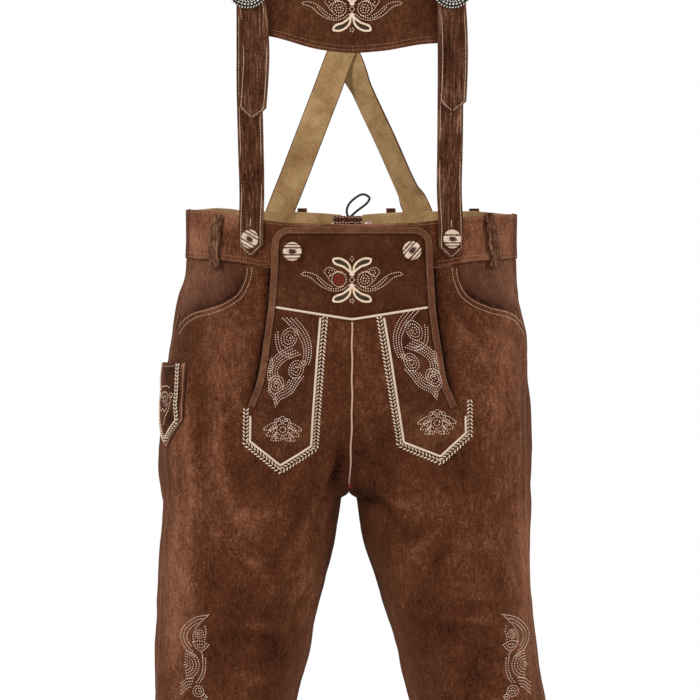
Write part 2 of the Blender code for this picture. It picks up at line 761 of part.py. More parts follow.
def belt_loop(name, place, x_top, x_foot, top, foot):
    """A strap sewn down at both ends over the waistband: place is on_front or on_back."""
    outs = ((0.0, 0.0), (0.10, 0.0), (0.22, 1.0), (0.5, 1.0), (0.78, 1.0), (0.90, 0.0), (1.0, 0.0))
    outer, inner = [], []
    for share, rise in outs:
        z = top + (foot - top) * share
        x = x_top + (x_foot - x_top) * share
        out = BAND + REST + LOOP_GAP * rise
        for half in (-0.5, 0.0, 0.5):
            outer.append(place(x + half * LOOP_WIDTH, z, out + LOOP_WALL)[0])
            inner.append(place(x + half * LOOP_WIDTH, z, out)[0])
    return wall(name, outer, inner, grid(3, len(outs)), "suede")


def belt_loops():
    belt_loop("loop_front_left", on_front, 0.1330, 0.1400, 0.0250, -0.0290)
    belt_loop("loop_front_right", on_front, -0.1300, -0.1350, 0.0225, -0.0300)
    belt_loop("loop_back_left", on_back, 0.0390, 0.0390, 0.0320, -0.0290)
    belt_loop("loop_back_right", on_back, -0.0500, -0.0500, 0.0320, -0.0290)
    belt_loop("loop_side_left", on_back, 0.1210, 0.1230, 0.0315, -0.0280)
    belt_loop("loop_side_right", on_back, -0.1360, -0.1370, 0.0315, -0.0280)


# ---------------------------------------------------------------- braces

# The line of the braces over a wearer's chest, shoulder and back, and how far they face
# outward, in degrees round from straight ahead.
CHEST_LINE = ((0.050, -0.1085), (0.100, -0.1130), (0.150, -0.1165), (0.200, -0.1185), (0.250, -0.1190),
              (0.300, -0.1140), (0.350, -0.0990), (0.395, -0.0760), (0.430, -0.0440))
BACK_LINE = ((0.4300, 0.0440), (0.3980, 0.0760), (0.3550, 0.0980), (0.3000, 0.1120), (0.2450, 0.1180),
             (0.1950, 0.1190), (0.1500, 0.1180), (0.1000, 0.1160), (0.0600, 0.1150))
FACING = 12


def facing(x, degrees_out, ahead):
    turn = math.radians(degrees_out) * (1 if x > 0 else -1)
    return Vector((math.sin(turn), ahead * math.cos(turn), 0))


def with_point(centres, ways):
    """The same line with nothing between its first end and where the strap's point grows to full width."""
    point = centres[0]
    grown = point + (centres[1] - point).normalized() * STRAP_POINT
    far = [i for i, centre in enumerate(centres) if (centre - point).length > STRAP_POINT + 0.003]
    return [point, grown] + [centres[i] for i in far], [ways[0], ways[1]] + [ways[i] for i in far]


def front_strap(side):
    """From its point on the waistband, behind the loose end, up to the bar of the buckle."""
    x = STRAP_AT[side]
    out = BAND + ON_BAND + STRAP_WALL / 2
    centres, ways = [], []
    aside, foot = STRAP_FOOT[side]
    for z in (foot, -0.0080, 0.0030, 0.0120):
        centre, way = on_front(x + aside, z, out)
        centres.append(centre)
        ways.append(way)
    for z, y in CHEST_LINE:
        if z < BUCKLE_Z:
            centres.append(Vector((x + aside * max(0.0, 1 - (z - 0.012) / 0.13), y, z)))
            share = min(1.0, (z - 0.012) / 0.10)
            ways.append(ways[3].lerp(facing(x, FACING, -1), share))
    centres.append(Vector((x, -0.1192, BUCKLE_Z - 0.006)))
    ways.append(facing(x, FACING, -1))
    centres, ways = with_point(spline(centres, 26), spline(ways, 26))
    widths = [0.003] + [STRAP] * (len(centres) - 1)
    ribbon("strap_front_" + side, centres, ways, widths, STRAP_WALL, "suede")


def shoulder_strap(side):
    """From its point below the buckle, up over the shoulder, down across the back to the waistband."""
    x = STRAP_AT[side]
    end_x = BACK_STRAP_AT[side]
    over = STRAP_WALL + REST + 0.0002
    layer = 0.0 if side == "left" else STRAP_WALL + 0.0012
    centres = [Vector((x, straight(CHEST_LINE, z) - over, z))
               for z in (END_Z[side] - 0.006, 0.155, 0.185, 0.215)]
    centres += [Vector((x, -0.1192 - over, BUCKLE_Z)), Vector((x, -0.1185 - over * 0.6, 0.272))]
    centres += [Vector((x, y, z)) for z, y in CHEST_LINE if z >= 0.300]
    centres.append(Vector((x, 0.0, SHOULDER)))
    ways = [facing(x, FACING, -1)] * (len(centres) - 3)
    ways += [Vector((0.05, -0.6, 0.6)), Vector((0.02, -0.4, 0.9)), Vector((0, 0, 1))]
    cross_x, cross_z = -0.009, 0.195
    for z, y in BACK_LINE:
        if z > cross_z:
            share = (z - cross_z) / (0.430 - cross_z)
            place = cross_x + (x * 0.985 - cross_x) * share ** 0.96
        else:
            place = cross_x + (end_x - cross_x) * (cross_z - z) / (cross_z - 0.031)
        near = max(0.0, 1 - abs(z - cross_z) / 0.09)
        centres.append(Vector((place, y + layer * near, z)))
        ways.append(Vector((0, 1, max(0.0, (z - 0.33) * 4))))
    out = BAND + ON_BAND + STRAP_WALL / 2
    direction = (end_x - cross_x) / (cross_z - 0.031)
    for z in (0.0240, 0.0100, -0.0060, -0.0190):
        centre, way = on_back(end_x + direction * (0.031 - z) * 0.6, z, out)
        centres.append(centre)
        ways.append(way)
    count = 62
    centres, ways = spline(centres, count), spline(ways, count)
    if side == "right":
        for i, centre in enumerate(centres):
            if centre.y > 0.08 and centre.z < 0.19:
                starts = min(1.0, (0.19 - centre.z) / 0.035)
                ends = min(1.0, max(0.0, centre.z - 0.034) / 0.04)
                turn = TURN * starts * ends
                if turn > 0.01:
                    ways[i] = Vector((math.sin(turn), math.cos(turn), 0))
    centres, ways = with_point(centres, ways)
    centres, ways = with_point(centres[::-1], ways[::-1])
    widths = [0.003] + [STRAP] * (len(centres) - 2) + [0.003]
    ribbon("strap_shoulder_" + side, centres[::-1], ways[::-1], widths, STRAP_WALL, "suede")


def chest_piece():
    """The cross piece behind both braces, hollowed at its top edge and pointed below."""
    foot = ((-0.1135, 0.2040), (-0.081, 0.1995), (-0.030, 0.1860), (0.000, 0.1830), (0.030, 0.1860),
            (0.086, 0.1940), (0.1135, 0.1945))

    def place(u, v, out):
        x = (2 * u - 1) * CHEST_HALF
        low = smooth(foot, x)
        high = CHEST_TOP - 0.010 * (1 - (x / CHEST_HALF) ** 2)
        z = high + (low - high) * v
        bulge = 0.0125 * (1 - (x / 0.1) ** 2)
        return Vector((x, straight(CHEST_LINE, z) + 0.0018 - bulge - out, z))
    return patch("chest_piece", 17, 5, place, -HIDE, 0.0, "suede_dark")


def buckle(side):
    """A round ring in front of the brace, and the bar behind the brace that carries it."""
    x = STRAP_AT[side]
    rim, reach, turns, sides = 0.0042, 0.0152, 32, 10
    way = facing(x, FACING, -1)
    across = Vector((0, 0, 1)).cross(way)
    up = Vector((0, 0, 1))
    middle = Vector((x, -0.1192, BUCKLE_Z)) + way * (STRAP_WALL * 1.5 + REST * 2 + 0.0026)
    work = bmesh.new()
    rings = []
    for k in range(turns):
        a = 2 * math.pi * k / turns
        spoke = across * math.cos(a) * 1.06 + up * math.sin(a)
        ring = [work.verts.new(middle + spoke * (reach + rim * math.cos(2 * math.pi * j / sides))
                               + way * (0.0024 * math.sin(2 * math.pi * j / sides))) for j in range(sides)]
        rings.append(ring)
    for a, b in zip(rings, rings[1:] + rings[:1]):
        for j in range(sides):
            n = (j + 1) % sides
            work.faces.new([a[j], a[n], b[n], b[j]])
    bmesh.ops.recalc_face_normals(work, faces=work.faces)
    mesh = bpy.data.meshes.new("buckle_" + side)
    work.to_mesh(mesh)
    work.free()
    keep("buckle_" + side, mesh, "silver", 60)
    bar = [middle + across * s * 0.0170 + up * 0.0007 - way * d for s, d in
           ((-1, 0.0034), (-1, 0.0066), (-0.97, 0.0074), (0.97, 0.0074), (1, 0.0066), (1, 0.0034))]
    work = bmesh.new()
    rings = []
    for i, point in enumerate(bar):
        along = (bar[min(i + 1, 5)] - bar[max(i - 1, 0)]).normalized()
        other = up.cross(along)
        rings.append([work.verts.new(point + up * b * 0.0012 + other * a * 0.0006)
                      for a, b in ((1, 1), (1, -1), (-1, -1), (-1, 1))])
    for a, b in zip(rings, rings[1:]):
        for j in range(4):
            n = (j + 1) % 4
            work.faces.new([a[j], a[n], b[n], b[j]])
    work.faces.new(rings[0])
    work.faces.new(rings[-1][::-1])
    bmesh.ops.recalc_face_normals(work, faces=work.faces)
    mesh = bpy.data.meshes.new("buckle_bar_" + side)
    work.to_mesh(mesh)
    work.free()
    keep("buckle_bar_" + side, mesh, "silver", 30)


def button(name, centre, way):
    """A domed disc with a rounded rim."""
    r, h = BUTTON, BUTTON_HEIGHT
    profile = ((0, 0), (r * 0.82, 0), (r, h * 0.35), (r, h * 0.6), (r * 0.9, h * 0.9), (r * 0.55, h), (0, h))
    lathe(name, profile, centre, way, "horn")


def buttons():
    on_strap = BAND + ON_BAND + STRAP_WALL + 0.0005
    on_flap = YOKE_OUT + HIDE + REST
    for side in ("left", "right"):
        button("button_strap_" + side, *on_front(STRAP_AT[side] + STRAP_FOOT[side][0], -0.0020, on_strap))
        flap_x, flap_z = (0.0582, -0.0138) if side == "left" else (-0.0580, -0.0148)
        button("button_flap_" + side, *on_front(flap_x, flap_z, on_flap))
        end_x = BACK_STRAP_AT[side]
        lean = (end_x + 0.009) / (0.195 - 0.031)
        centre, way = on_back(end_x + lean * 0.031 * 0.6, -0.0005, on_strap)
        button("button_back_" + side, centre, way)


# The lace at the back: places across, out from the form and up, from one loose end to the other.
LACE_ROUTE = (
    (-0.0235, 0.0050, -0.0560), (-0.0225, 0.0049, -0.0440), (-0.0195, 0.0052, -0.0320),
    (-0.0150, 0.0066, -0.0200), (-0.0130, 0.0094, -0.0110), (-0.0125, 0.0086, -0.0042),
    (-0.0125, 0.0015, -0.0040), (-0.0120, -0.0052, -0.0030), (0.0000, -0.0066, 0.0055),
    (0.0165, -0.0052, 0.0130), (0.0170, 0.0015, 0.0140), (0.0165, 0.0084, 0.0145),
    (0.0045, 0.0086, 0.0185), (-0.0045, 0.0066, 0.0250), (-0.0040, 0.0054, 0.0345),
    (0.0030, 0.0052, 0.0425), (0.0110, 0.0060, 0.0465), (0.0176, 0.0074, 0.0430),
    (0.0145, 0.0090, 0.0365), (0.0050, 0.0116, 0.0290), (-0.0065, 0.0116, 0.0190),
    (-0.0165, 0.0084, 0.0145), (-0.0170, 0.0015, 0.0140), (-0.0165, -0.0060, 0.0130),
    (-0.0020, -0.0096, 0.0050), (0.0120, -0.0052, -0.0030), (0.0125, 0.0015, -0.0040),
    (0.0125, 0.0086, -0.0044), (0.0150, 0.0094, -0.0150), (0.0190, 0.0060, -0.0290),
    (0.0215, 0.0049, -0.0420), (0.0240, 0.0050, -0.0530),
)


def lace():
    route = [on_back(x, z, out)[0] for x, out, z in LACE_ROUTE]
    points = spline(route, 79)
    curve = bpy.data.curves.new("lace_back", "CURVE")
    curve.dimensions = "3D"
    curve.bevel_depth = LACE / 2
    curve.bevel_resolution = 2
    curve.use_fill_caps = True
    line = curve.splines.new("POLY")
    line.points.add(len(points) - 1)
    for place, point in zip(line.points, points):
        place.co = (*point, 1.0)
    curve.materials.append(paint("lace"))
    made = bpy.data.objects.new("lace_back", curve)
    bpy.context.scene.collection.objects.link(made)


def notch_tongue():
    """The dark tongue sewn to the seat's top edge, which stands behind the lacing in the notch."""
    profile = ((-0.0232, -0.0012), (-0.0170, -0.0060), (-0.0090, -0.0122), (0.0080, -0.0128), (0.0250, -0.0124))

    def place(u, v, out):
        z = 0.0250 + (-0.0232 - 0.0250) * v
        x = -0.0195 + 0.0300 * u
        return on_back(x, z, straight(profile, z) + out)[0]
    patch("notch_tongue", 5, 9, place, -TRIM, 0.0, "suede_dark")


for one in ("left", "right"):
    front_panel(one)
    back_panel(one)
    pocket_facing(one)
    slit_facing(one)
    waistband_front(one)
    waistband_back(one)
    applique(one)
    front_strap(one)
    shoulder_strap(one)
    buckle(one)
flap_yoke()
flap_binding()
pipings()
knife_pocket()
belt_loops()
chest_piece()
notch_tongue()
buttons()
eyelets()
lace()
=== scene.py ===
"""Looks for the knee-length suede lederhosen with a drop-front flap and crossed braces.

Metres, +Z up, front towards -Y, the wearer's left towards +X; tables given to mm() are in
millimetres. Every piece lies on the same worn form as its solid; creases are listed ridges
and troughs on that form, shared by each layer of leather, so layers stay apart. Thread, piping
and beads are laid along lines on the leather.
"""

import json
import math

import bmesh
import bpy
import numpy as np
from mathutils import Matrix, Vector

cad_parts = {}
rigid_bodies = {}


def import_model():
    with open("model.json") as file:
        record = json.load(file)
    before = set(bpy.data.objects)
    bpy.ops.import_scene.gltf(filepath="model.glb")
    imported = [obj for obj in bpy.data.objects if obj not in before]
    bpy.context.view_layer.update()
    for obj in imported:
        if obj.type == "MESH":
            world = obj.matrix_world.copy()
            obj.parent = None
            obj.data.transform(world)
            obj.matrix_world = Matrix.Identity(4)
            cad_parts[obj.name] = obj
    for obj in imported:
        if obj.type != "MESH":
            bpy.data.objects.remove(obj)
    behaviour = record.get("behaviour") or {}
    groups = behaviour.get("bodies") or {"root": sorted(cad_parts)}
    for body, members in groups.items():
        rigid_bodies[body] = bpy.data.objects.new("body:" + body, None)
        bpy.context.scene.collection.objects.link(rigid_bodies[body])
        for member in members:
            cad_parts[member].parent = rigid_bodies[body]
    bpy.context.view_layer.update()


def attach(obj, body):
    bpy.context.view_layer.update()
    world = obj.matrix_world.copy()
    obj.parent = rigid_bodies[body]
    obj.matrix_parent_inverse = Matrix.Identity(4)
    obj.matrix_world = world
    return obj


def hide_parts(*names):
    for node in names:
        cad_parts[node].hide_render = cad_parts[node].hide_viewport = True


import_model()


def mm(rows):
    """Rows of millimetres, or of thousandths, as metres or wholes."""
    return tuple(tuple(value / 1000 for value in row) for row in rows)


# ---------------------------------------------------------------- sizes, as the solids have them

HIDE = 0.002
BAND = 0.003
TRIM = 0.0014
SEAM = 0.0002
REST = 0.0009
BEHIND = 0.0019

FORM_COLUMNS = ("z", "left", "right", "middle", "front", "back", "between")
FORM = mm((
    (40, 163.5, 164.5, 0, 115, 114, 0), (0, 163, 164, 0, 117.5, 116.5, 0),
    (-30, 163.5, 165.5, 0, 120, 121, 0), (-60, 166, 172.5, 0, 122.5, 129, 0),
    (-100, 174.5, 180, 0, 124, 137, 0), (-160, 176, 186, 0, 122.5, 143, 0),
    (-222, 180.5, 191, -1.5, 117, 140, 0), (-254, 181, 186, -3, 113, 134, 0.2),
    (-258, 180.8, 185.5, -3, 112.5, 133, 9.2), (-264, 180.5, 184.5, -3, 111.8, 131, 10.8),
    (-302, 179.5, 187, -3, 108, 117, 15.5), (-342, 179.5, 191.5, -1.5, 104.5, 106, 27.5),
    (-382, 181, 194, 0, 100, 98, 39), (-422, 183, 198, 2, 94, 90, 48.5),
    (-462, 190.5, 197, 1.5, 88, 82, 59), (-520, 196, 196.5, 0, 80, 74, 71), (-585, 198, 198, 0, 73, 68, 80),
))
TRUNK_FULLNESS = 2.4
LEG_FULLNESS = 2.15
FORK_TOP = -0.15
CROTCH = -0.254
LEG_TOP = -0.12
LEG_WHOLE = -0.34
HEM = -0.58
SIDE_SEAM = ((0.04, 0.425), (-0.2, 0.425), (-0.32, 0.44), (-0.585, 0.445))
WAIST_SEAM = mm(((0, -30.5), (89, -30), (108, -26), (128, -23.2), (163, -20.5)))
FRONT_RIM = mm(((0, 13), (63, 14.5), (88, 17.5), (122, 21.5), (163, 24.5)))
BACK_SEAM = mm(((0, -26), (163, -20.5)))
BACK_RIM = mm(((0, 25.5), (20, 27), (60, 29), (120, 29), (163, 24.5)))
YOKE_SEAM = mm(((0, -82), (82, -68.8)))
YOKE_HALF = 0.0815
FLAP_TOP = 0.0105
FLAP_CORNER = 0.018
FLAP_END = -0.166
SLIT = mm(((10.5, 78.5), (-7, 78.6), (-64, 81.5), (-108, 87.3), (-143, 93.8), (-166, 103), (-180, 108)))
SLIT_HALF = 0.0008
BINDING = 0.0075
FLAP_LIFT = mm(((20, 3.6), (-85, 3.6), (-120, 2.4), (-150, 0.8), (-166, 0)))
POCKET_MOUTH = mm(((104.5, -27.3), (106.5, -41), (113, -54.5), (123.5, -63), (139, -69.5), (156, -74),
                   (168, -81.5), (176, -92)))
POCKET_DEPTH = -0.13
YOKE_OUT = 0.0036
TRIM_OUT = YOKE_OUT + HIDE + REST
APPLIQUE = {
    "left": {"inner": ((-0.074, 0.0316), (-0.111, 0.038), (-0.157, 0.0454), (-0.202, 0.0534)),
             "tip": (0.088, -0.216), "corner": (0.111, -0.194)},
    "right": {"inner": ((-0.074, 0.0318), (-0.112, 0.0352), (-0.16, 0.0388), (-0.206, 0.0424)),
              "tip": (0.072, -0.225), "corner": (0.1, -0.202)},
}
PIPING = 0.002
NOTCH_HALF = 0.011
NOTCH_FOOT = -0.012
EYELETS = ((0.0125, -0.004), (0.017, 0.014))
KNIFE_TOP, KNIFE_STRAIGHT, KNIFE_TIP = -0.125, -0.181, -0.2095
KNIFE_HALF = 0.031
KNIFE_SWELL = 0.0036
STRAP = 0.0285
FRONT_STRAP = 0.0262
LOOSE_ASIDE = {"left": 0.0034, "right": 0.006}
STRAP_WALL = 0.002
STRAP_POINT = 0.0105
ON_BAND = 0.0012
STRAP_AT = {"left": 0.098, "right": -0.102}
STRAP_FOOT = {"left": (-0.0015, -0.0208), "right": (0.0034, -0.019)}
BACK_STRAP_AT = {"left": -0.072, "right": 0.066}
TURN = math.radians(46)
SHOULDER = 0.452
CROSS_X, CROSS_Z = -0.009, 0.195
LOW_BACK = 0.031
BUCKLE_Z = 0.247
END_Z = {"left": 0.131, "right": 0.1245}
CHEST_TOP = 0.279
CHEST_HALF = 0.1135
CHEST_FOOT = mm(((-113.5, 204), (-81, 199.5), (-30, 186), (0, 183), (30, 185), (72, 192), (113.5, 194.5)))
CHEST_LINE = mm(((50, -108.5), (100, -113), (150, -116.5), (200, -118.5), (250, -119), (300, -114),
                 (350, -99), (395, -76), (430, -44)))
BACK_LINE = mm(((430, 44), (398, 76), (355, 98), (300, 112), (245, 118), (195, 119), (150, 118), (100, 116),
                (60, 115)))
FACING = 12
BUTTON = 0.0095
BUTTON_HEIGHT = 0.0034
LOOP_WIDTH = 0.0095
LOOP_WALL = 0.002
LOOP_GAP = 0.003
LACE = 0.0024
LACE_ROUTE = mm((
    (-23.5, 5, -56), (-22.5, 4.9, -44), (-19.5, 5.2, -32), (-15, 6.6, -20), (-13, 9.4, -11),
    (-12.5, 8.6, -4.2), (-12.5, 1.5, -4), (-12, -5.2, -3), (0, -6.6, 5.5), (16.5, -5.2, 13), (17, 1.5, 14),
    (16.5, 8.4, 14.5), (4.5, 8.6, 18.5), (-4.5, 6.6, 25), (-4, 5.4, 34.5), (3, 5.2, 42.5), (11, 6, 46.5),
    (17.6, 7.4, 43), (14.5, 9, 36.5), (5, 11.6, 29), (-6.5, 11.6, 19), (-16.5, 8.4, 14.5), (-17, 1.5, 14),
    (-16.5, -6, 13), (-2, -9.6, 5), (12, -5.2, -3), (12.5, 1.5, -4), (12.5, 8.6, -4.4), (15, 9.4, -15),
    (19, 6, -29), (21.5, 4.9, -42), (24, 5, -53),
))
SIDES = ("left", "right")

# ---------------------------------------------------------------- creases

# Ridges (height over nought) and troughs (under nought) on the front, in millimetres, as lines
# of (across, up), then how wide and how high. Across is from the middle of the body.
FRONT_CREASES = (
    # wearer's right leg: long soft ridges down from the hip
    (((-133, -118), (-134, -190), (-130, -230), (-120, -262), (-107, -300)), 8, 3.4),
    (((-122, -150), (-122, -205), (-115, -240)), 6, -1.6),
    (((-160, -130), (-163, -200), (-157, -255), (-161, -300)), 5.5, 2.4),
    (((-149, -150), (-151, -205), (-147, -262)), 5, -2),
    (((-172, -190), (-172, -240), (-168, -290), (-172, -350)), 5, -2.2),
    # pulls from the fork
    (((-6, -196), (-16, -228), (-30, -258), (-40, -292)), 4.8, -3),
    (((-18, -206), (-29, -240), (-45, -280), (-60, -314)), 5.6, 2.8),
    (((-36, -236), (-54, -282), (-74, -318), (-90, -340)), 7, -2.2),
    (((-50, -226), (-72, -262), (-96, -284)), 8.5, 2.2),
    (((-10, -246), (-30, -276), (-40, -318)), 5, 2),
    # knee folds
    (((-128, -300), (-106, -318), (-86, -342), (-68, -366)), 6.8, 3.2),
    (((-122, -316), (-100, -334), (-82, -356)), 6, -1.8),
    (((-36, -318), (-48, -340), (-58, -356), (-68, -366)), 5.8, 2.8),
    (((-46, -350), (-58, -372), (-64, -396)), 6, -2.4),
    (((-140, -376), (-108, -385), (-82, -387), (-60, -382)), 7, 2.6),
    (((-136, -392), (-104, -400), (-78, -401)), 7.2, -1.8),
    (((-120, -432), (-96, -441), (-70, -438)), 9, 2),
    (((-170, -330), (-160, -356), (-146, -372)), 7, 2.4),
    (((-96, -470), (-110, -500), (-132, -520)), 10, -2),
    # wearer's left leg
    (((90, -62), (108, -92), (126, -118), (138, -140)), 5.8, 3),
    (((98, -60), (118, -90), (136, -112)), 4.8, -2.2),
    (((112, -66), (130, -90), (146, -104)), 4.4, 2),
    (((138, -130), (139, -170), (136, -205), (139, -240)), 7.5, 3.2),
    (((151, -120), (154, -170), (150, -215)), 5.5, -2.2),
    (((164, -130), (166, -190), (163, -250), (166, -310)), 5.8, 2.6),
    (((12, -236), (30, -252), (52, -266), (72, -270)), 6, 2.8),
    (((16, -248), (34, -266), (50, -290), (70, -304)), 6, -2.6),
    (((6, -252), (20, -262), (30, -266)), 3.4, -2.8),
    (((4, -243), (16, -247), (28, -253)), 3, 2),
    (((28, -262), (40, -290), (46, -322)), 5, 2.2),
    (((52, -334), (64, -312), (80, -298), (96, -292)), 6.5, 3.4),
    (((76, -338), (86, -318), (100, -303)), 7, -3),
    (((96, -308), (124, -306), (148, -322), (160, -350)), 8.5, 2.6),
    (((100, -352), (126, -356), (148, -352)), 10, 1.4),
    (((60, -368), (88, -377), (122, -381), (158, -376)), 5.5, 2.8),
    (((64, -382), (96, -391), (130, -392)), 6.5, -2),
    (((72, -420), (94, -434), (104, -460)), 8.5, 2.2),
    (((118, -428), (134, -446), (140, -470)), 8, -1.8),
    (((110, -490), (130, -512), (152, -520)), 10, 2),
    (((20, -190), (14, -220), (10, -244)), 6, 1.4),
    # under the flap and across its panels
    (((-74, -171), (-56, -170), (-42, -172)), 3, -1),
    (((48, -170), (70, -167), (90, -168)), 3.2, -1),
    (((-96, -216), (-110, -236), (-116, -262)), 7, -1.6),
    (((94, -212), (108, -232), (112, -262)), 7.5, -1.8),
    (((-28, -100), (-10, -103), (16, -101)), 6, 1),
    (((-24, -150), (-8, -154), (22, -150)), 7, 1),
    # hips
    (((-112, -58), (-118, -86), (-122, -112)), 8, 1.8),
    (((-146, -86), (-154, -104), (-168, -116)), 7, -1.6),
    (((156, -88), (164, -104), (170, -118)), 6, -1.6),
)

# The same for the sides and back: which leg, then the line as (round, up). Round is 500 at the
# side and 1000 at the back seam.
ROUND_CREASES = (
    ("right", ((490, -110), (500, -170), (492, -230), (500, -290)), 6, 2.4),
    ("right", ((540, -150), (552, -220), (545, -280)), 7.5, -2.2),
    ("right", ((590, -120), (600, -180), (585, -240), (560, -300)), 8.5, 2.8),
    ("right", ((980, -200), (920, -235), (840, -262), (760, -276)), 6.5, 3.4),
    ("right", ((960, -225), (900, -262), (830, -290)), 7, -3),
    ("right", ((940, -265), (860, -300), (770, -318)), 7.5, 2.8),
    ("right", ((900, -300), (800, -350), (700, -360)), 8.5, -2.4),
    ("right", ((660, -250), (700, -262), (780, -258)), 8, 2),
    ("right", ((620, -360), (720, -378), (850, -372), (930, -352)), 7.5, 3.4),
    ("right", ((600, -385), (720, -402), (860, -398)), 7, -2.6),
    ("right", ((560, -420), (680, -438), (800, -432)), 8, 2.6),
    ("right", ((700, -480), (800, -496), (900, -490)), 10, -1.8),
    ("right", ((750, -60), (740, -120), (760, -180)), 12, 1.6),
    ("right", ((880, -80), (870, -140), (890, -185)), 9, -1.6),
    ("left", ((495, -120), (505, -180), (498, -250), (505, -310)), 6, 2.6),
    ("left", ((545, -130), (555, -200), (548, -260)), 7, -2.2),
    ("left", ((600, -140), (610, -205), (590, -270), (570, -320)), 9, 2.6),
    ("left", ((985, -190), (930, -228), (850, -250), (770, -252)), 7, 3.2),
    ("left", ((970, -215), (905, -250), (820, -272)), 7, -2.8),
    ("left", ((950, -250), (870, -288), (790, -312)), 7, 3),
    ("left", ((910, -292), (820, -330), (730, -340)), 8.5, -2.2),
    ("left", ((580, -345), (690, -366), (820, -368), (920, -350)), 7, 3.2),
    ("left", ((600, -372), (730, -390), (860, -388)), 7.5, -2.6),
    ("left", ((640, -412), (760, -428), (880, -418)), 8.5, 2.6),
    ("left", ((560, -470), (660, -486), (780, -480)), 10, -1.8),
    ("left", ((730, -70), (745, -125), (730, -175)), 12, 1.8),
    ("left", ((860, -75), (880, -130), (870, -190)), 8.5, -1.4),
    ("left", ((30, -400), (15, -440), (40, -480)), 8, 1.8),
    ("right", ((30, -380), (18, -430), (40, -470)), 8, -1.6),
    ("left", ((450, -150), (455, -200), (450, -265)), 30, -5.2),
    ("right", ((450, -180), (455, -225), (450, -275)), 28, -4.4),
)

# Where the nap is worn pale, with painted light on the outer legs, and where painted shade darkens the
# folds and the fork: centre (across, up) and reach (across, up) in millimetres, and how much in thousandths.
FRONT_RUBS_AND_SHADE = mm((
    (-130, -120, 26, 60, 260), (146, -130, 24, 60, 340), (-172, -350, 18, 130, 620),
    (-168, -180, 14, 60, 300), (176, -340, 16, 110, 500), (-60, -320, 14, 50, 220),
    (-100, -280, 30, 18, 160), (70, -262, 30, 14, 120), (62, -324, 16, 24, 240), (120, -300, 26, 20, 100),
    (-40, -410, 12, 70, 200), (0, -244, 36, 14, -300), (-92, -400, 36, 50, -300), (96, -400, 34, 50, -260),
    (30, -300, 12, 60, -220), (-80, -205, 30, 14, -200), (80, -205, 30, 14, -240),
    (128, -420, 20, 40, -200), (-120, -236, 14, 24, -180), (150, -100, 20, 30, 180),
    (18, -257, 13, 10, -750), (-16, -235, 10, 30, -300), (60, -290, 40, 30, -100),
    (-146, -250, 20, 40, 140), (140, -200, 22, 50, 160),
))


def sign(side):
    return 1 if side == "left" else -1


def smooth(rows, at):
    """Values on a smooth curve through a table of (place, value) rows, without overshoot."""
    rows = sorted(rows)
    places = np.array([row[0] for row in rows], float)
    values = np.array([row[1] for row in rows], float)
    steps = np.diff(values) / np.diff(places)
    lean = np.empty_like(values)
    lean[0], lean[-1] = steps[0], steps[-1]
    product, total = steps[:-1] * steps[1:], steps[:-1] + steps[1:]
    lean[1:-1] = np.where(product > 0, 2 * product / np.where(total == 0, 1, total), 0)
    at = np.clip(at, places[0], places[-1])
    i = np.clip(np.searchsorted(places, at, side="right") - 1, 0, len(places) - 2)
    span = places[i + 1] - places[i]
    u = (at - places[i]) / span
    return (values[i] * (1 + 2 * u) * (1 - u) ** 2 + values[i + 1] * u * u * (3 - 2 * u)
            + span * lean[i] * u * (1 - u) ** 2 - span * lean[i + 1] * u * u * (1 - u))


def straight(rows, at):
    """Values of a table of (place, value) rows, straight between rows."""
    rows = sorted(rows)
    return np.interp(at, [row[0] for row in rows], [row[1] for row in rows])


FORM_AT = {name: [(row[0], row[k]) for row in FORM] for k, name in enumerate(FORM_COLUMNS)}


def form(name, z):
    return smooth(FORM_AT[name], z)


def power(value, fullness):
    return np.copysign(np.abs(value) ** (2 / fullness), value)


def section(side, t, z):
    """One half's form: t runs from 0, the front edge, by 0.5, the side, to 1, the back edge."""
    t, z = np.broadcast_arrays(np.asarray(t, float), np.asarray(z, float))
    width = form(side, z)
    depth = np.where(t < 0.5, form("front", z), form("back", z))
    turn = math.pi * (t - 0.5)
    trunk_x = width * power(np.cos(turn), TRUNK_FULLNESS)
    trunk_y = depth * power(np.sin(turn), TRUNK_FULLNESS)
    between = np.where(z < CROTCH, form("between", z), 0.0)
    leg_x = (width + between) / 2 + (width - between) / 2 * power(np.cos(2 * turn), LEG_FULLNESS)
    leg_y = depth * power(np.sin(2 * turn), LEG_FULLNESS)
    under = np.clip((FORK_TOP - z) / (FORK_TOP - CROTCH), 0, 1)
    at_seam = 1 - np.sqrt(1 - under * under)
    down = np.clip((LEG_TOP - z) / (LEG_TOP - LEG_WHOLE), 0, 1)
    elsewhere = down * down * (3 - 2 * down)
    near = np.abs(2 * t - 1) ** 7
    share = at_seam * near + elsewhere * (1 - near)
    return trunk_x + (leg_x - trunk_x) * share, trunk_y + (leg_y - trunk_y) * share


def unit(rows):
    return rows / np.maximum(np.linalg.norm(rows, axis=-1, keepdims=True), 1e-12)


def run_along(points):
    """How far along a line each of its points is."""
    return np.concatenate([[0], np.cumsum(np.linalg.norm(np.diff(points, axis=0), axis=1))])


def out_of(side, t, z):
    """The way out from one half's form, square to it, as on the left half."""
    t, z = np.broadcast_arrays(np.asarray(t, float), np.asarray(z, float))
    step = 0.002
    low, high = np.maximum(0.0, t - step), np.minimum(1.0, t + step)
    a, b = np.stack(section(side, low, z), -1), np.stack(section(side, high, z), -1)
    c, d = np.stack(section(side, t, z - step), -1), np.stack(section(side, t, z + step), -1)
    across = np.concatenate([b - a, np.zeros((*t.shape, 1))], -1)
    up = np.concatenate([d - c, np.full((*t.shape, 1), 2 * step)], -1)
    way = np.cross(across, up)
    way[..., 0] = np.where(((t < 0.001) | (t > 0.999)) & (z > CROTCH), 0.0, way[..., 0])
    return unit(way)


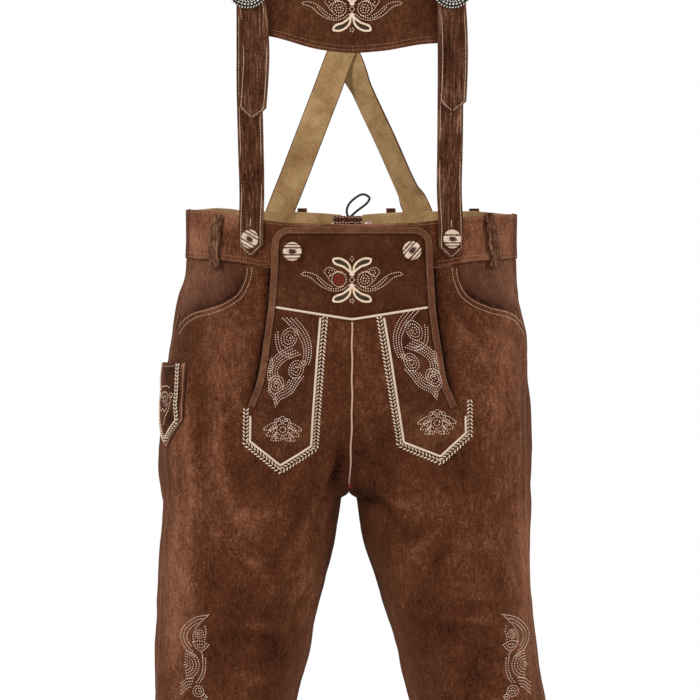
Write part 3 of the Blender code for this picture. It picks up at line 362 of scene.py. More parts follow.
def t_at(side, x, z, low=0.0, high=0.5):
    """Where the form is this far from its own middle: on the front, or from 0.5 to 1 on the back."""
    x, z = np.broadcast_arrays(np.asarray(x, float), np.asarray(z, float))
    rising = high <= 0.5
    low, high = np.full(x.shape, low), np.full(x.shape, high)
    for _ in range(32):
        middle = (low + high) / 2
        nearer = (section(side, middle, z)[0] < x) == rising
        low, high = np.where(nearer, middle, low), np.where(nearer, high, middle)
    return (low + high) / 2


class Lattice:
    """Soft, fixed unevenness: random numbers on a lattice, smoothed between its points."""

    def __init__(self, seed):
        self.values = np.random.default_rng(seed).uniform(-1, 1, (24, 24, 24))

    def at(self, points, size):
        place = points / size + 500.0
        low = np.floor(place).astype(int)
        u = place - low
        u = u * u * (3 - 2 * u)
        total = 0.0
        for corner in np.ndindex(2, 2, 2):
            where = (low + corner) % 24
            share = np.prod(np.where(np.array(corner) == 1, u, 1 - u), axis=-1)
            total = total + share * self.values[where[..., 0], where[..., 1], where[..., 2]]
        return total


WAVES = Lattice(11)
FINER = Lattice(12)


def lay_crease(kind, line, count=24):
    """A crease's line, laid on the form: for the front (across, up), else (round, up)."""
    line = np.array(line, float)
    places = np.linspace(0, 1, len(line))
    fine = np.linspace(0, 1, count)
    a = smooth(list(zip(places, line[:, 0])), fine)
    z = smooth(list(zip(places, line[:, 1])), fine)
    if kind == "front":
        side = "left" if a.mean() >= 0 else "right"
        t = t_at(side, np.abs(a - form("middle", z)), z)
    else:
        side, t = kind, a
    x, y = section(side, t, z)
    return side, np.stack([form("middle", z) + sign(side) * x, y, z], -1)


CREASES = [(*lay_crease("front", mm(line)), *mm([sizes])[0]) for line, *sizes in FRONT_CREASES]
CREASES += [(*lay_crease(side, mm(line)), *mm([sizes])[0]) for side, line, *sizes in ROUND_CREASES]


def relief(points, side):
    """How far the leather stands out from the form at these points, from all the creases."""
    shape = points.shape[:-1]
    points = points.reshape(-1, 3)
    total = np.zeros(len(points))
    for own, line, wide, high in CREASES:
        low, top = line.min(0) - 3 * wide, line.max(0) + 3 * wide
        near = np.all((points > low) & (points < top), axis=1)
        if own != side:
            near &= points[:, 2] > CROTCH
        if not near.any():
            continue
        spots = points[near]
        gaps = np.linalg.norm(spots[:, None] - line[None], axis=-1)
        nearest = gaps.argmin(1)
        along = nearest / (len(line) - 1)
        a = line[np.maximum(nearest - 1, 0)]
        b = line[np.minimum(nearest + 1, len(line) - 1)]
        run = b - a
        share = np.clip(np.einsum("ij,ij->i", spots - a, run) / np.einsum("ij,ij->i", run, run), 0, 1)
        off = np.linalg.norm(spots - a - run * share[:, None], axis=1)
        taper = np.sin(math.pi * np.clip(along, 0.02, 0.98)) ** 0.6
        total[near] += high * taper * np.exp(-((off / (0.85 * wide)) ** 2))
    calm = np.clip((0.02 - points[:, 2]) / 0.09, 0.0, 1.0)
    total *= np.clip((-0.018 - points[:, 2]) / 0.03, 0.25, 1)
    away = points[:, 0] - form("middle", points[:, 2])
    widest = np.where(away >= 0, form("left", points[:, 2]), form("right", points[:, 2]))
    total *= np.clip((widest - np.abs(away)) / 0.01, 0.45, 1)
    total += calm * (0.0012 * WAVES.at(points, 0.034) + 0.0006 * FINER.at(points, 0.014))
    return total.reshape(shape)


def at(side, t, z, out=0.0):
    """Points on the leather, moved out; each half keeps to its own side of the seams."""
    t, z = np.broadcast_arrays(np.asarray(t, float), np.asarray(z, float))
    x, y = section(side, t, z)
    middle = form("middle", z)
    base = np.stack([middle + sign(side) * x, y, z], -1)
    raised = out + relief(base, side)
    point = np.stack([x, y, z], -1) + out_of(side, t, z) * raised[..., None]
    point[..., 0] = np.maximum(point[..., 0], SEAM)
    point[..., 1] = np.where(t < 0.001, np.minimum(point[..., 1], -SEAM), point[..., 1])
    point[..., 1] = np.where(t > 0.999, np.maximum(point[..., 1], SEAM), point[..., 1])
    point[..., 0] = middle + sign(side) * point[..., 0]
    return point


def on_face(x, z, out, low, high):
    """Points on the front or back at these places across and up, and the ways out there."""
    x, z, out = np.broadcast_arrays(*(np.asarray(v, float) for v in (x, z, out)))
    away = x - form("middle", z)
    points, ways = np.zeros((*x.shape, 3)), np.zeros((*x.shape, 3))
    for side in SIDES:
        mine = away >= 0 if side == "left" else away < 0
        if not mine.any():
            continue
        t = t_at(side, np.abs(away[mine]), z[mine], low, high)
        way = out_of(side, t, z[mine])
        way[..., 0] *= sign(side)
        base = np.stack([x[mine], section(side, t, z[mine])[1], z[mine]], -1)
        points[mine] = base + way * (out[mine] + relief(base, side))[..., None]
        ways[mine] = way
    return points, ways


def on_front(x, z, out=0.0):
    return on_face(x, z, out, 0.0, 0.5)


def on_back(x, z, out=0.0):
    return on_face(x, z, out, 0.5, 1.0)


def side_seam(z):
    return smooth(SIDE_SEAM, z)


def slit(z):
    return smooth(SLIT, z)


def lift(z):
    return straight(FLAP_LIFT, z)


# ---------------------------------------------------------------- finishes

def linear(red, green, blue):
    """A colour as the eye names it, 0 to 255, as light."""
    return tuple((c / 255) ** 2.2 for c in (red, green, blue))


class Finish:
    """A small helper that adds and joins the nodes of one finish."""

    def __init__(self, name):
        self.material = bpy.data.materials.new(name)
        self.material.use_nodes = True
        self.nodes = self.material.node_tree.nodes
        self.shader = self.nodes["Principled BSDF"]
        self.where = self.nodes.new("ShaderNodeTexCoord").outputs["Object"]

    def fill(self, socket, value):
        """Sets a socket to a number or a colour, or joins an output to it."""
        if isinstance(value, (int, float)):
            socket.default_value = value
        elif isinstance(value, tuple):
            socket.default_value = (*value, 1.0) if socket.type == "RGBA" and len(value) == 3 else value
        else:
            self.material.node_tree.links.new(value, socket)

    def set(self, **values):
        for name, value in values.items():
            self.fill(self.shader.inputs[name.replace("_", " ")], value)

    def add(self, kind, inputs, **values):
        """Adds a node with its inputs filled, and gives it."""
        node = self.nodes.new(kind)
        for key, value in values.items():
            setattr(node, key, value)
        for key, value in inputs.items():
            self.fill(node.inputs[key], value)
        return node

    def mapped(self, scale, turn=(0, 0, 0), where=None):
        inputs = {"Scale": scale, "Rotation": turn, "Vector": where or self.where}
        return self.add("ShaderNodeMapping", inputs).outputs[0]

    def noise(self, scale, detail=4.0, rough=0.55, where=None, twist=0.0):
        inputs = {"Scale": scale, "Detail": detail, "Roughness": rough, "Distortion": twist,
                  "Vector": where or self.where}
        return self.add("ShaderNodeTexNoise", inputs).outputs["Fac"]

    def attribute(self, name):
        return self.add("ShaderNodeAttribute", {}, attribute_name=name).outputs["Fac"]

    def uv(self, name):
        return self.add("ShaderNodeUVMap", {}, uv_map=name).outputs[0]

    def math(self, kind, a, b):
        return self.add("ShaderNodeMath", {0: a, 1: b}, operation=kind).outputs[0]

    def weigh(self, *parts):
        """The sum of values, each times its weight."""
        total = 0.0
        for value, weight in parts:
            total = self.math("ADD", self.math("MULTIPLY", value, weight), total)
        return total

    def spread(self, value, low, high, new_low=0.0, new_high=1.0):
        inputs = {"Value": value, "From Min": low, "From Max": high, "To Min": new_low, "To Max": new_high}
        return self.add("ShaderNodeMapRange", inputs, interpolation_type="SMOOTHSTEP").outputs[0]

    def mix(self, share, a, b):
        return self.add("ShaderNodeMix", {0: share, 6: a, 7: b}, data_type="RGBA").outputs[2]

    def dye(self, tone, low, high, dark, pale):
        """Colours the finish from dark to pale as the tone goes from low to high."""
        self.set(Base_Color=self.mix(self.spread(tone, low, high), linear(*dark), linear(*pale)))

    def bump(self, height, strength, distance):
        inputs = {"Strength": strength, "Distance": distance, "Height": height}
        self.set(Normal=self.add("ShaderNodeBump", inputs).outputs[0])


def suede(name, dark, middle, pale, contrast=1.0, streaks=0.0):
    """Suede: soft patches where the nap lies one way or the other, scuffs, and a fine pile."""
    finish = Finish(name)
    patches = finish.noise(1, 4, 0.55, finish.mapped((24, 24, 9), (0.2, 0.1, 0.3)), 0.3)
    clouds = finish.noise(62, 6, 0.7, twist=0.4)
    grains = finish.noise(430, 4, 0.75)
    scuffs = finish.noise(1, 5, 0.7, finish.mapped((330, 330, 120), (0.3, 0.2, 0)))
    pile = finish.noise(1500, 3, 0.7)
    worn = finish.noise(1, 4, 0.6, finish.mapped((620, 620, 11)))
    shades = [(patches, 1.0), (clouds, 0.95), (grains, 1.9), (scuffs, 1.5), (pile, 1.3)]
    if streaks:
        shades.append((worn, streaks))
    tone = finish.weigh(*((finish.math("SUBTRACT", noise, 0.5), much * contrast) for noise, much in shades))
    # Each point's worn nap and its painted light and shade are added to the tone.
    tone = finish.math("ADD", tone, finish.attribute("rub"))
    low = finish.mix(finish.spread(tone, -1.0, 0.1), linear(*dark), linear(*middle))
    finish.set(Base_Color=finish.mix(finish.spread(tone, -0.05, 1.15), low, linear(*pale)),
               Roughness=finish.spread(tone, -1.0, 1.0, 0.97, 0.84),
               Specular_IOR_Level=0.12, Sheen_Weight=0.3, Sheen_Roughness=0.4,
               Sheen_Tint=linear(196, 132, 96))
    finish.bump(finish.weigh((pile, 0.25), (grains, 0.7), (scuffs, 0.7), (clouds, 2.2)), 0.75, 0.0014)
    return finish.material


def rough_side(name, dark, pale):
    """The flesh side of the hide: tan, fibrous, a little blotched."""
    finish = Finish(name)
    blotch = finish.noise(38, 5, 0.6, twist=0.3)
    fibre = finish.noise(1, 5, 0.75, finish.mapped((900, 900, 330), (0.5, 0.3, 0.2)))
    tone = finish.weigh((blotch, 0.6), (fibre, 0.5))
    finish.dye(tone, 0.3, 0.8, dark, pale)
    finish.set(Roughness=finish.spread(tone, 0.3, 0.8, 0.95, 0.86), Specular_IOR_Level=0.2,
               Sheen_Weight=0.15, Sheen_Roughness=0.5)
    finish.bump(finish.math("ADD", fibre, blotch), 0.5, 0.0006)
    return finish.material


def thread(name, dark, pale):
    """Twisted thread: a fine slanting twist and a slight shine."""
    finish = Finish(name)
    wear = finish.noise(160, 3, 0.6)
    ply = finish.noise(1, 2, 0.5, finish.mapped((2600, 2600, 1300), (0.6, 0.4, 0.7)))
    finish.dye(finish.weigh((wear, 0.7), (ply, 0.4)), 0.3, 0.75, dark, pale)
    finish.set(Roughness=finish.spread(ply, 0.3, 0.7, 0.7, 0.5), Specular_IOR_Level=0.35,
               Sheen_Weight=0.1, Sheen_Roughness=0.4)
    finish.bump(ply, 0.4, 0.0002)
    return finish.material


def corded(name, dark, pale, turns):
    """Laid cord: a twist that runs along the cord on its own map."""
    finish = Finish(name)
    inputs = {"Scale": turns, "Distortion": 0.6, "Detail": 1.0, "Vector": finish.uv("along")}
    wave = finish.add("ShaderNodeTexWave", inputs, wave_type="BANDS", bands_direction="DIAGONAL")
    tone = finish.weigh((wave.outputs["Fac"], 0.65), (finish.noise(900, 3, 0.7), 0.4))
    finish.dye(tone, 0.15, 0.8, dark, pale)
    finish.set(Roughness=finish.spread(tone, 0.2, 0.9, 0.9, 0.7), Specular_IOR_Level=0.25,
               Sheen_Weight=0.2, Sheen_Roughness=0.4)
    finish.bump(tone, 0.6, 0.0004)
    return finish.material


def horn():
    """Cream horn with brown streaks that run across the button, and a dark block at its sunk middle."""
    finish = Finish("horn")
    across = finish.uv("across")
    streaks = finish.noise(1.0, 3, 0.5, finish.mapped((2.6, 5.5, 1.0), where=across), twist=0.8)
    fine = finish.noise(1.0, 3, 0.6, finish.mapped((2.0, 46.0, 1.0), where=across))
    tone = finish.weigh((fine, 0.4), (finish.noise(1, 3, 0.5), 0.2))
    pale = finish.mix(finish.spread(tone, 0.15, 0.5), linear(214, 176, 146), linear(255, 240, 220))
    broken = finish.math("MULTIPLY", finish.math("SUBTRACT", streaks, 0.5), 1.9)
    broken = finish.math("ADD", finish.attribute("mark"), broken)
    finish.set(Base_Color=finish.mix(finish.spread(broken, 0.35, 0.75), pale, linear(92, 52, 34)),
               Roughness=finish.spread(broken, 0.3, 0.7, 0.34, 0.6),
               Specular_IOR_Level=0.5, Coat_Weight=0.15, Coat_Roughness=0.3)
    finish.bump(finish.math("SUBTRACT", fine, broken), 0.4, 0.0003)
    return finish.material


def metal(name, dark, pale, rough):
    """Cast metal with tarnish in its hollows and fine scratches."""
    finish = Finish(name)
    tarnish = finish.noise(240, 5, 0.65, twist=0.4)
    scratch = finish.noise(1, 3, 0.6, finish.mapped((3000, 500, 900), (0.2, 0.7, 0.4)))
    tone = finish.weigh((tarnish, 0.8), (scratch, 0.25))
    finish.dye(tone, 0.3, 0.62, dark, pale)
    finish.set(Roughness=finish.spread(tone, 0.3, 0.7, rough + 0.2, rough), Metallic=0.6)
    finish.bump(finish.math("ADD", scratch, tarnish), 0.3, 0.0002)
    return finish.material


SUEDE = suede("suede", (34, 16, 9), (94, 53, 34), (166, 112, 84))
SUEDE_DARK = suede("suede_dark", (34, 17, 10), (80, 45, 29), (134, 86, 60), 0.9)
BROWN_STRAP = suede("strap_suede", (34, 17, 10), (88, 53, 37), (170, 128, 102), 0.75, 3.9)
EDGING = suede("edging", (60, 33, 22), (102, 64, 46), (150, 106, 80), 0.75)
FACING_SUEDE = suede("facing_suede", (40, 22, 14), (98, 60, 45), (150, 106, 84), 0.9)
TAN = rough_side("tan_side", (140, 104, 62), (214, 180, 132))
BROWN_EDGE = rough_side("cut_edge", (70, 44, 30), (124, 86, 60))
CREAM = thread("cream_thread", (246, 210, 176), (255, 238, 214))
PALE_BROWN = thread("brown_thread", (140, 100, 76), (196, 152, 122))
SOFT_CREAM = thread("soft_cream_thread", (236, 190, 158), (255, 232, 206))
ROSE_CREAM = thread("rose_cream_thread", (224, 162, 134), (255, 240, 222))
RED = thread("red_thread", (120, 24, 18), (196, 54, 40))
RED_BROWN = thread("red_brown_thread", (70, 34, 30), (128, 76, 66))
# Dark thread for the buttons; also a painted shade strip under the fishbone stitches.
DARK_THREAD_AND_SHADE = thread("dark_thread_and_shade", (58, 28, 16), (84, 48, 30))
LEAF_FILL = thread("leaf_thread", (48, 34, 20), (84, 66, 42))
PIPED = corded("piping_cord", (226, 188, 158), (255, 238, 218), 420)
FINE_PIPED = corded("centre_cord", (190, 142, 114), (240, 204, 178), 420)
LACED = corded("lace_cord", (16, 22, 20), (66, 78, 70), 300)
HORN = horn()
SILVER = metal("silver", (206, 200, 188), (255, 252, 246), 0.3)
OLD_SILVER = metal("old_silver", (12, 11, 9), (48, 44, 38), 0.5)


# ---------------------------------------------------------------- meshes

def in_scene(name, data):
    """A new object, unturned at the origin."""
    made = bpy.data.objects.new(name, data)
    bpy.context.scene.collection.objects.link(made)
    return made


def worked(piece):
    """The mesh that a piece's modifiers make; they are taken off it."""
    graph = bpy.context.evaluated_depsgraph_get()
    mesh = bpy.data.meshes.new_from_object(piece.evaluated_get(graph))
    piece.modifiers.clear()
    return mesh


def lay_map(piece, name, places):
    """A map on the piece, with one place for each of its points."""
    loops = np.zeros(len(piece.data.loops), np.int32)
    piece.data.loops.foreach_get("vertex_index", loops)
    layer = piece.data.uv_layers.new(name=name)
    layer.data.foreach_set("uv", places[loops].astype(np.float32).ravel())


def make(name, points, faces, finishes, marks=None, rub=None, smooth_angle=40):
    """A mesh piece at the origin. marks gives each face's finish; the per-point values give worn nap and
    painted light and shade.
    """
    mesh = bpy.data.meshes.new(name)
    mesh.from_pydata(np.asarray(points).reshape(-1, 3).tolist(), [], [list(map(int, f)) for f in faces])
    for finish in finishes:
        mesh.materials.append(finish)
    if marks is not None:
        mesh.polygons.foreach_set("material_index", np.asarray(marks, np.int32))
    if rub is not None:
        attribute = mesh.attributes.new("rub", "FLOAT", "POINT")
        attribute.data.foreach_set("value", np.asarray(rub, np.float32).ravel())
    mesh.shade_smooth()
    mesh.set_sharp_from_angle(angle=math.radians(smooth_angle))
    mesh.update()
    return in_scene(name, mesh)


def shell(name, outer, inner, quads, finishes, rub=0.0, bevel=0.22):
    """A closed wall between two faces that share quads; finishes are outside, inside and edge."""
    outer, inner = outer.reshape(-1, 3), inner.reshape(-1, 3)
    quads = np.asarray(quads)
    count = len(outer)
    a, b = quads, np.roll(quads, -1, axis=1)
    pairs = np.stack([a.ravel(), b.ravel()], 1)
    keys = np.sort(pairs, axis=1)
    key = keys[:, 0].astype(np.int64) * (count + 1) + keys[:, 1]
    _, first, uses = np.unique(key, return_index=True, return_counts=True)
    rim = pairs[first[uses == 1]]
    edge = np.unique(rim)
    top, low = outer.copy(), inner.copy()
    top[edge] += (inner[edge] - outer[edge]) * bevel
    low[edge] += (outer[edge] - inner[edge]) * bevel
    faces = np.concatenate([quads, quads[:, ::-1] + count,
                            np.stack([rim[:, 1], rim[:, 0], rim[:, 0] + count, rim[:, 1] + count], 1)])
    middle = quads[len(quads) // 2]
    corner = [outer[i] for i in middle]
    facing = np.cross(corner[1] - corner[0], corner[2] - corner[0])
    if facing @ (outer[middle[0]] - inner[middle[0]]) < 0:
        faces = faces[:, ::-1]
    marks = np.concatenate([np.zeros(len(quads)), np.ones(len(quads)), np.full(len(rim), 2)])
    # Each point's worn nap and painted light and shade, the same on both faces.
    wear = np.broadcast_to(np.asarray(rub, float).ravel() if np.ndim(rub) else rub, (count,)).copy()
    wear = np.concatenate([wear, wear])
    return make(name, np.concatenate([top, low]), faces, finishes, marks, wear)


def grid(columns, rows, start=0):
    """The quads of a grid whose points run row by row."""
    r, c = np.meshgrid(np.arange(rows - 1), np.arange(columns - 1), indexing="ij")
    first = (r * columns + c + start).ravel()
    return np.stack([first, first + 1, first + columns + 1, first + columns], 1)


def steps(length, cell, lip=0.0006):
    """Shares of a length, evenly spaced but for a narrow lip at each end."""
    count = max(3, int(round(length / cell)) + 1)
    inside = np.linspace(lip / length, 1 - lip / length, count)
    return np.concatenate([[0.0], inside, [1.0]])


def finished(piece, nodes=()):
    """Ties a finished piece to the frame."""
    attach(piece, "root")
    if nodes:
        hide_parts(*nodes)
    return piece


def wear_at(points, heights):
    """Pale worn nap and painted light on ridges, painted shade in troughs and beside the flap, and the listed
    patches.
    """
    # Relief as colour: ridges paler as worn nap and painted light, troughs darker as painted shade.
    wear = heights * 90.0
    ahead = np.clip((0.035 - points[..., 1]) / 0.05, 0, 1)
    # Listed patches: pale worn nap and painted light, dark painted shade in folds and at the fork.
    for x, z, wide, tall, much in FRONT_RUBS_AND_SHADE:
        off = ((points[..., 0] - x) / wide) ** 2 + ((points[..., 2] - z) / tall) ** 2
        wear = wear + much * np.exp(-off) * ahead
    # Painted shadow just outside the flap's edges, from the slit's foot up to the waist.
    past = np.abs(points[..., 0]) - slit(points[..., 2])
    painted_flap_shadow = np.exp(-np.maximum(past, 0) / 0.0036) * (past > -0.001) * ahead
    depth = np.clip((points[..., 2] - FLAP_END + 0.004) / 0.03, 0, 1) * (points[..., 2] < 0)
    return np.clip(wear - 1.6 * painted_flap_shadow * depth, -1.9, 1.2)


LEATHER = (SUEDE, TAN, BROWN_EDGE)
DARK_LEATHER = (SUEDE_DARK, TAN, BROWN_EDGE)


def spline(points, count):
    """Evenly numbered points on a smooth curve through the given ones."""
    rows = np.asarray(points, float)
    ends = np.concatenate([[2 * rows[0] - rows[1]], rows, [2 * rows[-1] - rows[-2]]])
    whole = np.linspace(0, 1, count) * (len(rows) - 1)
    i = np.minimum(whole.astype(int), len(rows) - 2)
    u = (whole - i)[:, None]
    a, b, c, d = ends[i], ends[i + 1], ends[i + 2], ends[i + 3]
    bend = (2 * a - 5 * b + 4 * c - d) * u * u + (3 * b - a - 3 * c + d) * u ** 3
    return 0.5 * (2 * b + (c - a) * u + bend)


# ---------------------------------------------------------------- trouser panels

CELL = 0.0028


def slit_t(side, z, edge):
    """Where the slit's edge is; below the slit, its column runs on down the leg."""
    above = t_at(side, slit(np.maximum(z, FLAP_END)) + edge, np.maximum(z, FLAP_END))
    return above + (0.235 - above) * np.clip((FLAP_END - z) / 0.12, 0, 1) * (z < FLAP_END)


def panel_points(side, t, z, out):
    """A trouser panel's outer and inner points and its worn nap with painted light and shade, at these
    places.
    """
    x, y = section(side, t, z)
    base = np.stack([form("middle", z) + sign(side) * x, y, z], -1)
    return at(side, t, z, out + HIDE), at(side, t, z, out), wear_at(base, relief(base, side))


def front_panel(side):
    """Half the front with its leg: the flap's half inside the slit is lifted, the rest is not."""
    flap_u = np.concatenate([[0.0], np.linspace(0.012, 0.988, 30), [1.0]])
    body_u = np.concatenate([[0.0], np.linspace(0.008, 0.992, 60), [1.0]])
    high_v = np.concatenate([[0.0], np.linspace(0.01, 1.0, 46)])
    depth_low = FLAP_END - HEM
    low_z = FLAP_END - depth_low * steps(depth_low, CELL, 0.0012)[2:]
    start = float(straight(SLIT, -0.03)) + SLIT_HALF
    top_x = start + (POCKET_MOUTH[0][0] - start) * np.linspace(0, 1, 5)[:-1]
    top = np.concatenate([np.stack([top_x, straight(WAIST_SEAM, top_x) - SEAM], 1), spline(POCKET_MOUTH, 40)])
    run = run_along(top)
    mouth_u = np.interp(body_u, [0, 0.2, 1.0], [0, run[4] / run[-1], 1.0])
    mx, mz = (np.interp(mouth_u, run / run[-1], top[:, k]) for k in range(2))
    mouth_t = t_at(side, mx, mz)
    past = np.clip((body_u - 0.8) / 0.2, 0, 1) ** 2
    mouth_t = mouth_t + (float(side_seam(-0.09)) - SEAM / 0.5 - mouth_t[-1]) * past
    flap_seam = straight(YOKE_SEAM, flap_u * YOKE_HALF) - SEAM
    v, u = np.meshgrid(high_v, flap_u, indexing="ij")
    z_flap = flap_seam[None] + (FLAP_END - flap_seam[None]) * v
    t_flap = u * slit_t(side, z_flap, -SLIT_HALF * (v < 1))
    v, u = np.meshgrid(high_v, body_u, indexing="ij")
    z_body = mz[None] + (FLAP_END - mz[None]) * v
    begin = slit_t(side, z_body, np.where(v < 1, SLIT_HALF, 0.0))
    plain = begin + (side_seam(z_body) - SEAM / 0.5 - begin) * u
    t_body = np.where(u > 0, mouth_t[None] + (plain - mouth_t[None]) * v, begin)
    meet = slit_t(side, low_z, 0.0)[:, None]
    beyond = side_seam(low_z)[:, None] - SEAM / 0.5 - meet
    t_low = np.concatenate([meet * flap_u[None], meet + beyond * body_u[None, 1:]], 1)
    z_low = np.broadcast_to(low_z[:, None], t_low.shape)
    parts = [panel_points(side, t_flap, z_flap, lift(z_flap))]
    parts += [panel_points(side, t, z, 0.0 * z) for t, z in ((t_body, z_body), (t_low, z_low))]
    outer, inner = (np.concatenate([part[k].reshape(-1, 3) for part in parts]) for k in range(2))
    rub = np.concatenate([part[2].ravel() for part in parts])
    columns_a, columns_b, rows = len(flap_u), len(body_u), len(high_v)
    first_b = columns_a * rows
    first_low = first_b + columns_b * rows
    last_a, last_b = columns_a * (rows - 1), first_b + columns_b * (rows - 1)
    above = np.concatenate([np.arange(columns_a) + last_a, np.arange(1, columns_b) + last_b])
    below = np.arange(columns_a + columns_b - 1) + first_low
    quads = np.concatenate([grid(columns_a, rows), grid(columns_b, rows, first_b),
                            np.stack([above[:-1], above[1:], below[1:], below[:-1]], 1),
                            grid(columns_a + columns_b - 1, len(low_z), first_low)])
    quads[quads == last_b] = first_b - 1
    piece = shell("suede_front_" + side, outer, inner, quads, LEATHER, rub)
    finished(piece, ["front_" + side])


def back_panel(side):
    """Half the back with its leg, from the side seam to the centre seam."""
    u_steps = np.concatenate([[0.0], np.linspace(0.006, 0.994, 84), [1.0]])
    v_steps = steps(-0.026 - HEM, CELL, 0.0012)
    v, u = np.meshgrid(v_steps, u_steps, indexing="ij")
    z = -0.026 + (HEM + 0.026) * v
    for _ in range(3):
        start = side_seam(z) + SEAM / 0.5
        t = start + (1 - start) * u
        top = straight(BACK_SEAM, section(side, t, -0.025)[0]) - SEAM
        z = top + (HEM - top) * v
    outer, inner, rub = panel_points(side, t, z, 0.0 * z)
    piece = shell("suede_back_" + side, outer, inner, grid(len(u_steps), len(v_steps)), LEATHER, rub)
    return finished(piece, ["back_" + side])


def laid(name, width, height, cell, place, low, high, finishes, rub=None, nodes=()):
    """A piece over a grid: place(u, v, out) gives its points, with u and v from 0 to 1."""
    us, vs = steps(width, cell), steps(height, cell)
    v, u = np.meshgrid(vs, us, indexing="ij")
    outer, inner = place(u, v, high), place(u, v, low)
    wear = 0.0 * u if rub is None else rub(u, v, outer)
    piece = shell(name, outer, inner, grid(len(us), len(vs)), finishes, wear, 0.3)
    return finished(piece, nodes)


def pocket_facing(side):
    """The side of the hip that shows above the pocket mouth, set in behind the front panel."""
    def place(u, v, out):
        z = np.full(u.shape, POCKET_DEPTH)
        for _ in range(3):
            start = t_at(side, np.maximum(0.1005, slit(z) + 0.0075), z)
            t = start + (side_seam(z) - SEAM / 0.5 - start) * u
            x = section(side, t, -0.022)[0]
            top = straight(WAIST_SEAM, x) + 0.005
            z = top + (POCKET_DEPTH - top) * v
        mouth = straight(POCKET_MOUTH, section(side, t, z)[0])
        sewn = np.clip((u - 0.72) / 0.24, 0, 1) * np.clip((z - mouth - 0.003) / 0.008, 0, 1)
        under = np.clip((top - 0.0054 - z) / 0.003, 0, 1)
        return at(side, t, z, out + sewn * (BEHIND + HIDE * under))

    def rub(u, v, points):
        near = np.exp(-((v - 0.25) / 0.3) ** 2) * 0.2 - 0.35 * np.clip(v - 0.25, 0, 1)
        x = np.abs(points[..., 0] - form("middle", points[..., 2]))
        above = np.clip(points[..., 2] - straight(POCKET_MOUTH, x), 0, 1)
        near = near + 0.35 * np.clip((u - 0.5) * 2, 0, 1)
        # Painted shadow: darker just above the pocket mouth, where the front panel's edge overhangs the
        # facing.
        return near + 0.2 * WAVES.at(points, 0.012) - 0.85 * np.exp(-above / 0.009)
    laid("facing_pocket_" + side, 0.11, 0.1, 0.0035, place, -BEHIND - HIDE, -BEHIND,
         (FACING_SUEDE, TAN, BROWN_EDGE), rub, ["pocket_facing_" + side])


def slit_facing(side):
    """The strip behind the slit beside the flap."""
    top, foot, reach = -0.031, -0.156, 0.022

    def place(u, v, out):
        z = top + (foot - top) * v
        x = slit(z) + 0.0045 - reach * (1 - u)
        return at(side, t_at(side, x, z), z, out)
    laid("facing_slit_" + side, 0.022, 0.125, 0.0035, place, -BEHIND - HIDE, -BEHIND,
         (FACING_SUEDE, TAN, BROWN_EDGE), None, ["slit_facing_" + side])


def rim(rows, side, x):
    """Height of a waistband's rim; it stands a little higher at the wearer's right hip."""
    return straight(rows, x) + (0.0045 * np.clip((x - 0.104) / 0.03, 0, 1) if side == "right" else 0.0)


def ripple(points):
    return 0.35 * WAVES.at(points, 0.02)


def waistband_front(side):
    def place(u, v, out):
        t = side_seam(0.0) * u - SEAM / 0.5 * u
        x = section(side, t, 0.0)[0]
        low = straight(WAIST_SEAM, x) + SEAM
        z = low + (rim(FRONT_RIM, side, x) - low) * v
        return at(side, t, z, out)

    def rub(u, v, points):
        edge = 0.35 * np.exp(-((1 - v) / 0.06) ** 2)
        return 0.56 + edge - 0.62 * np.exp(-((u - 0.34) / 0.16) ** 2) + ripple(points)
    laid("waistband_suede_front_" + side, 0.215, 0.045, 0.0026, place, 0.0, BAND, LEATHER, rub,
         ["waistband_front_" + side])


def notch(z):
    return np.maximum(SEAM, NOTCH_HALF * (z - NOTCH_FOOT) / (0.0265 - NOTCH_FOOT))


def waistband_back(side):
    """Half the back waistband, cut back to the notch at the centre, with two eyelet holes."""
    def place(u, v, out):
        x = section(side, side_seam(0.0) + (1 - side_seam(0.0)) * u, 0.0)[0]
        low = straight(BACK_SEAM, x) + SEAM
        z = low + (rim(BACK_RIM, side, x) - low) * v
        start = side_seam(0.0) + SEAM / 0.5
        cut = t_at(side, notch(z), z, 0.5, 1.0)
        end = np.where(notch(z) > SEAM, cut, 1.0)
        return at(side, start + (end - start) * u, z, out)

    def rub(u, v, points):
        return 0.35 * np.exp(-((1 - v) / 0.06) ** 2) + ripple(points)
    piece = laid("waistband_suede_back_" + side, 0.19, 0.05, 0.0026, place, 0.0, BAND, LEATHER, rub, ())
    for x, z in EYELETS:
        centre, way = on_back(sign(side) * x, z, BAND / 2)
        cut_hole(piece, centre, way, 0.0031)
    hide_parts("waistband_back_" + side)


def cross_ways(way):
    """Two ways square to the given one and to each other."""
    side = np.cross(way, (0, 0, 1.0))
    if np.linalg.norm(side) < 0.1:
        side = np.array([1.0, 0, 0])
    side = side / np.linalg.norm(side)
    return side, np.cross(way, side)


def turned(centre, way, profile, turns=32):
    """Points and faces of a turned piece: profile rows are (radius, height)."""
    way = way / np.linalg.norm(way)
    side, other = cross_ways(way)
    angles = np.linspace(0, 2 * math.pi, turns, endpoint=False)
    points, faces, rings = [], [], []
    for radius, height in profile:
        middle = centre + way * height
        if radius == 0:
            rings.append([len(points)])
            points.append(middle)
        else:
            rings.append(list(range(len(points), len(points) + turns)))
            points += [middle + (side * math.cos(a) + other * math.sin(a)) * radius for a in angles]
    pairs = list(zip(rings, rings[1:])) + ([(rings[-1], rings[0])] if len(rings[0]) > 1 else [])
    for a, b in pairs:
        for k in range(turns):
            n = (k + 1) % turns
            if len(a) == 1:
                faces.append([a[0], b[n], b[k]])
            elif len(b) == 1:
                faces.append([a[k], a[n], b[0]])
            else:
                faces.append([a[k], a[n], b[n], b[k]])
    return np.array(points), faces


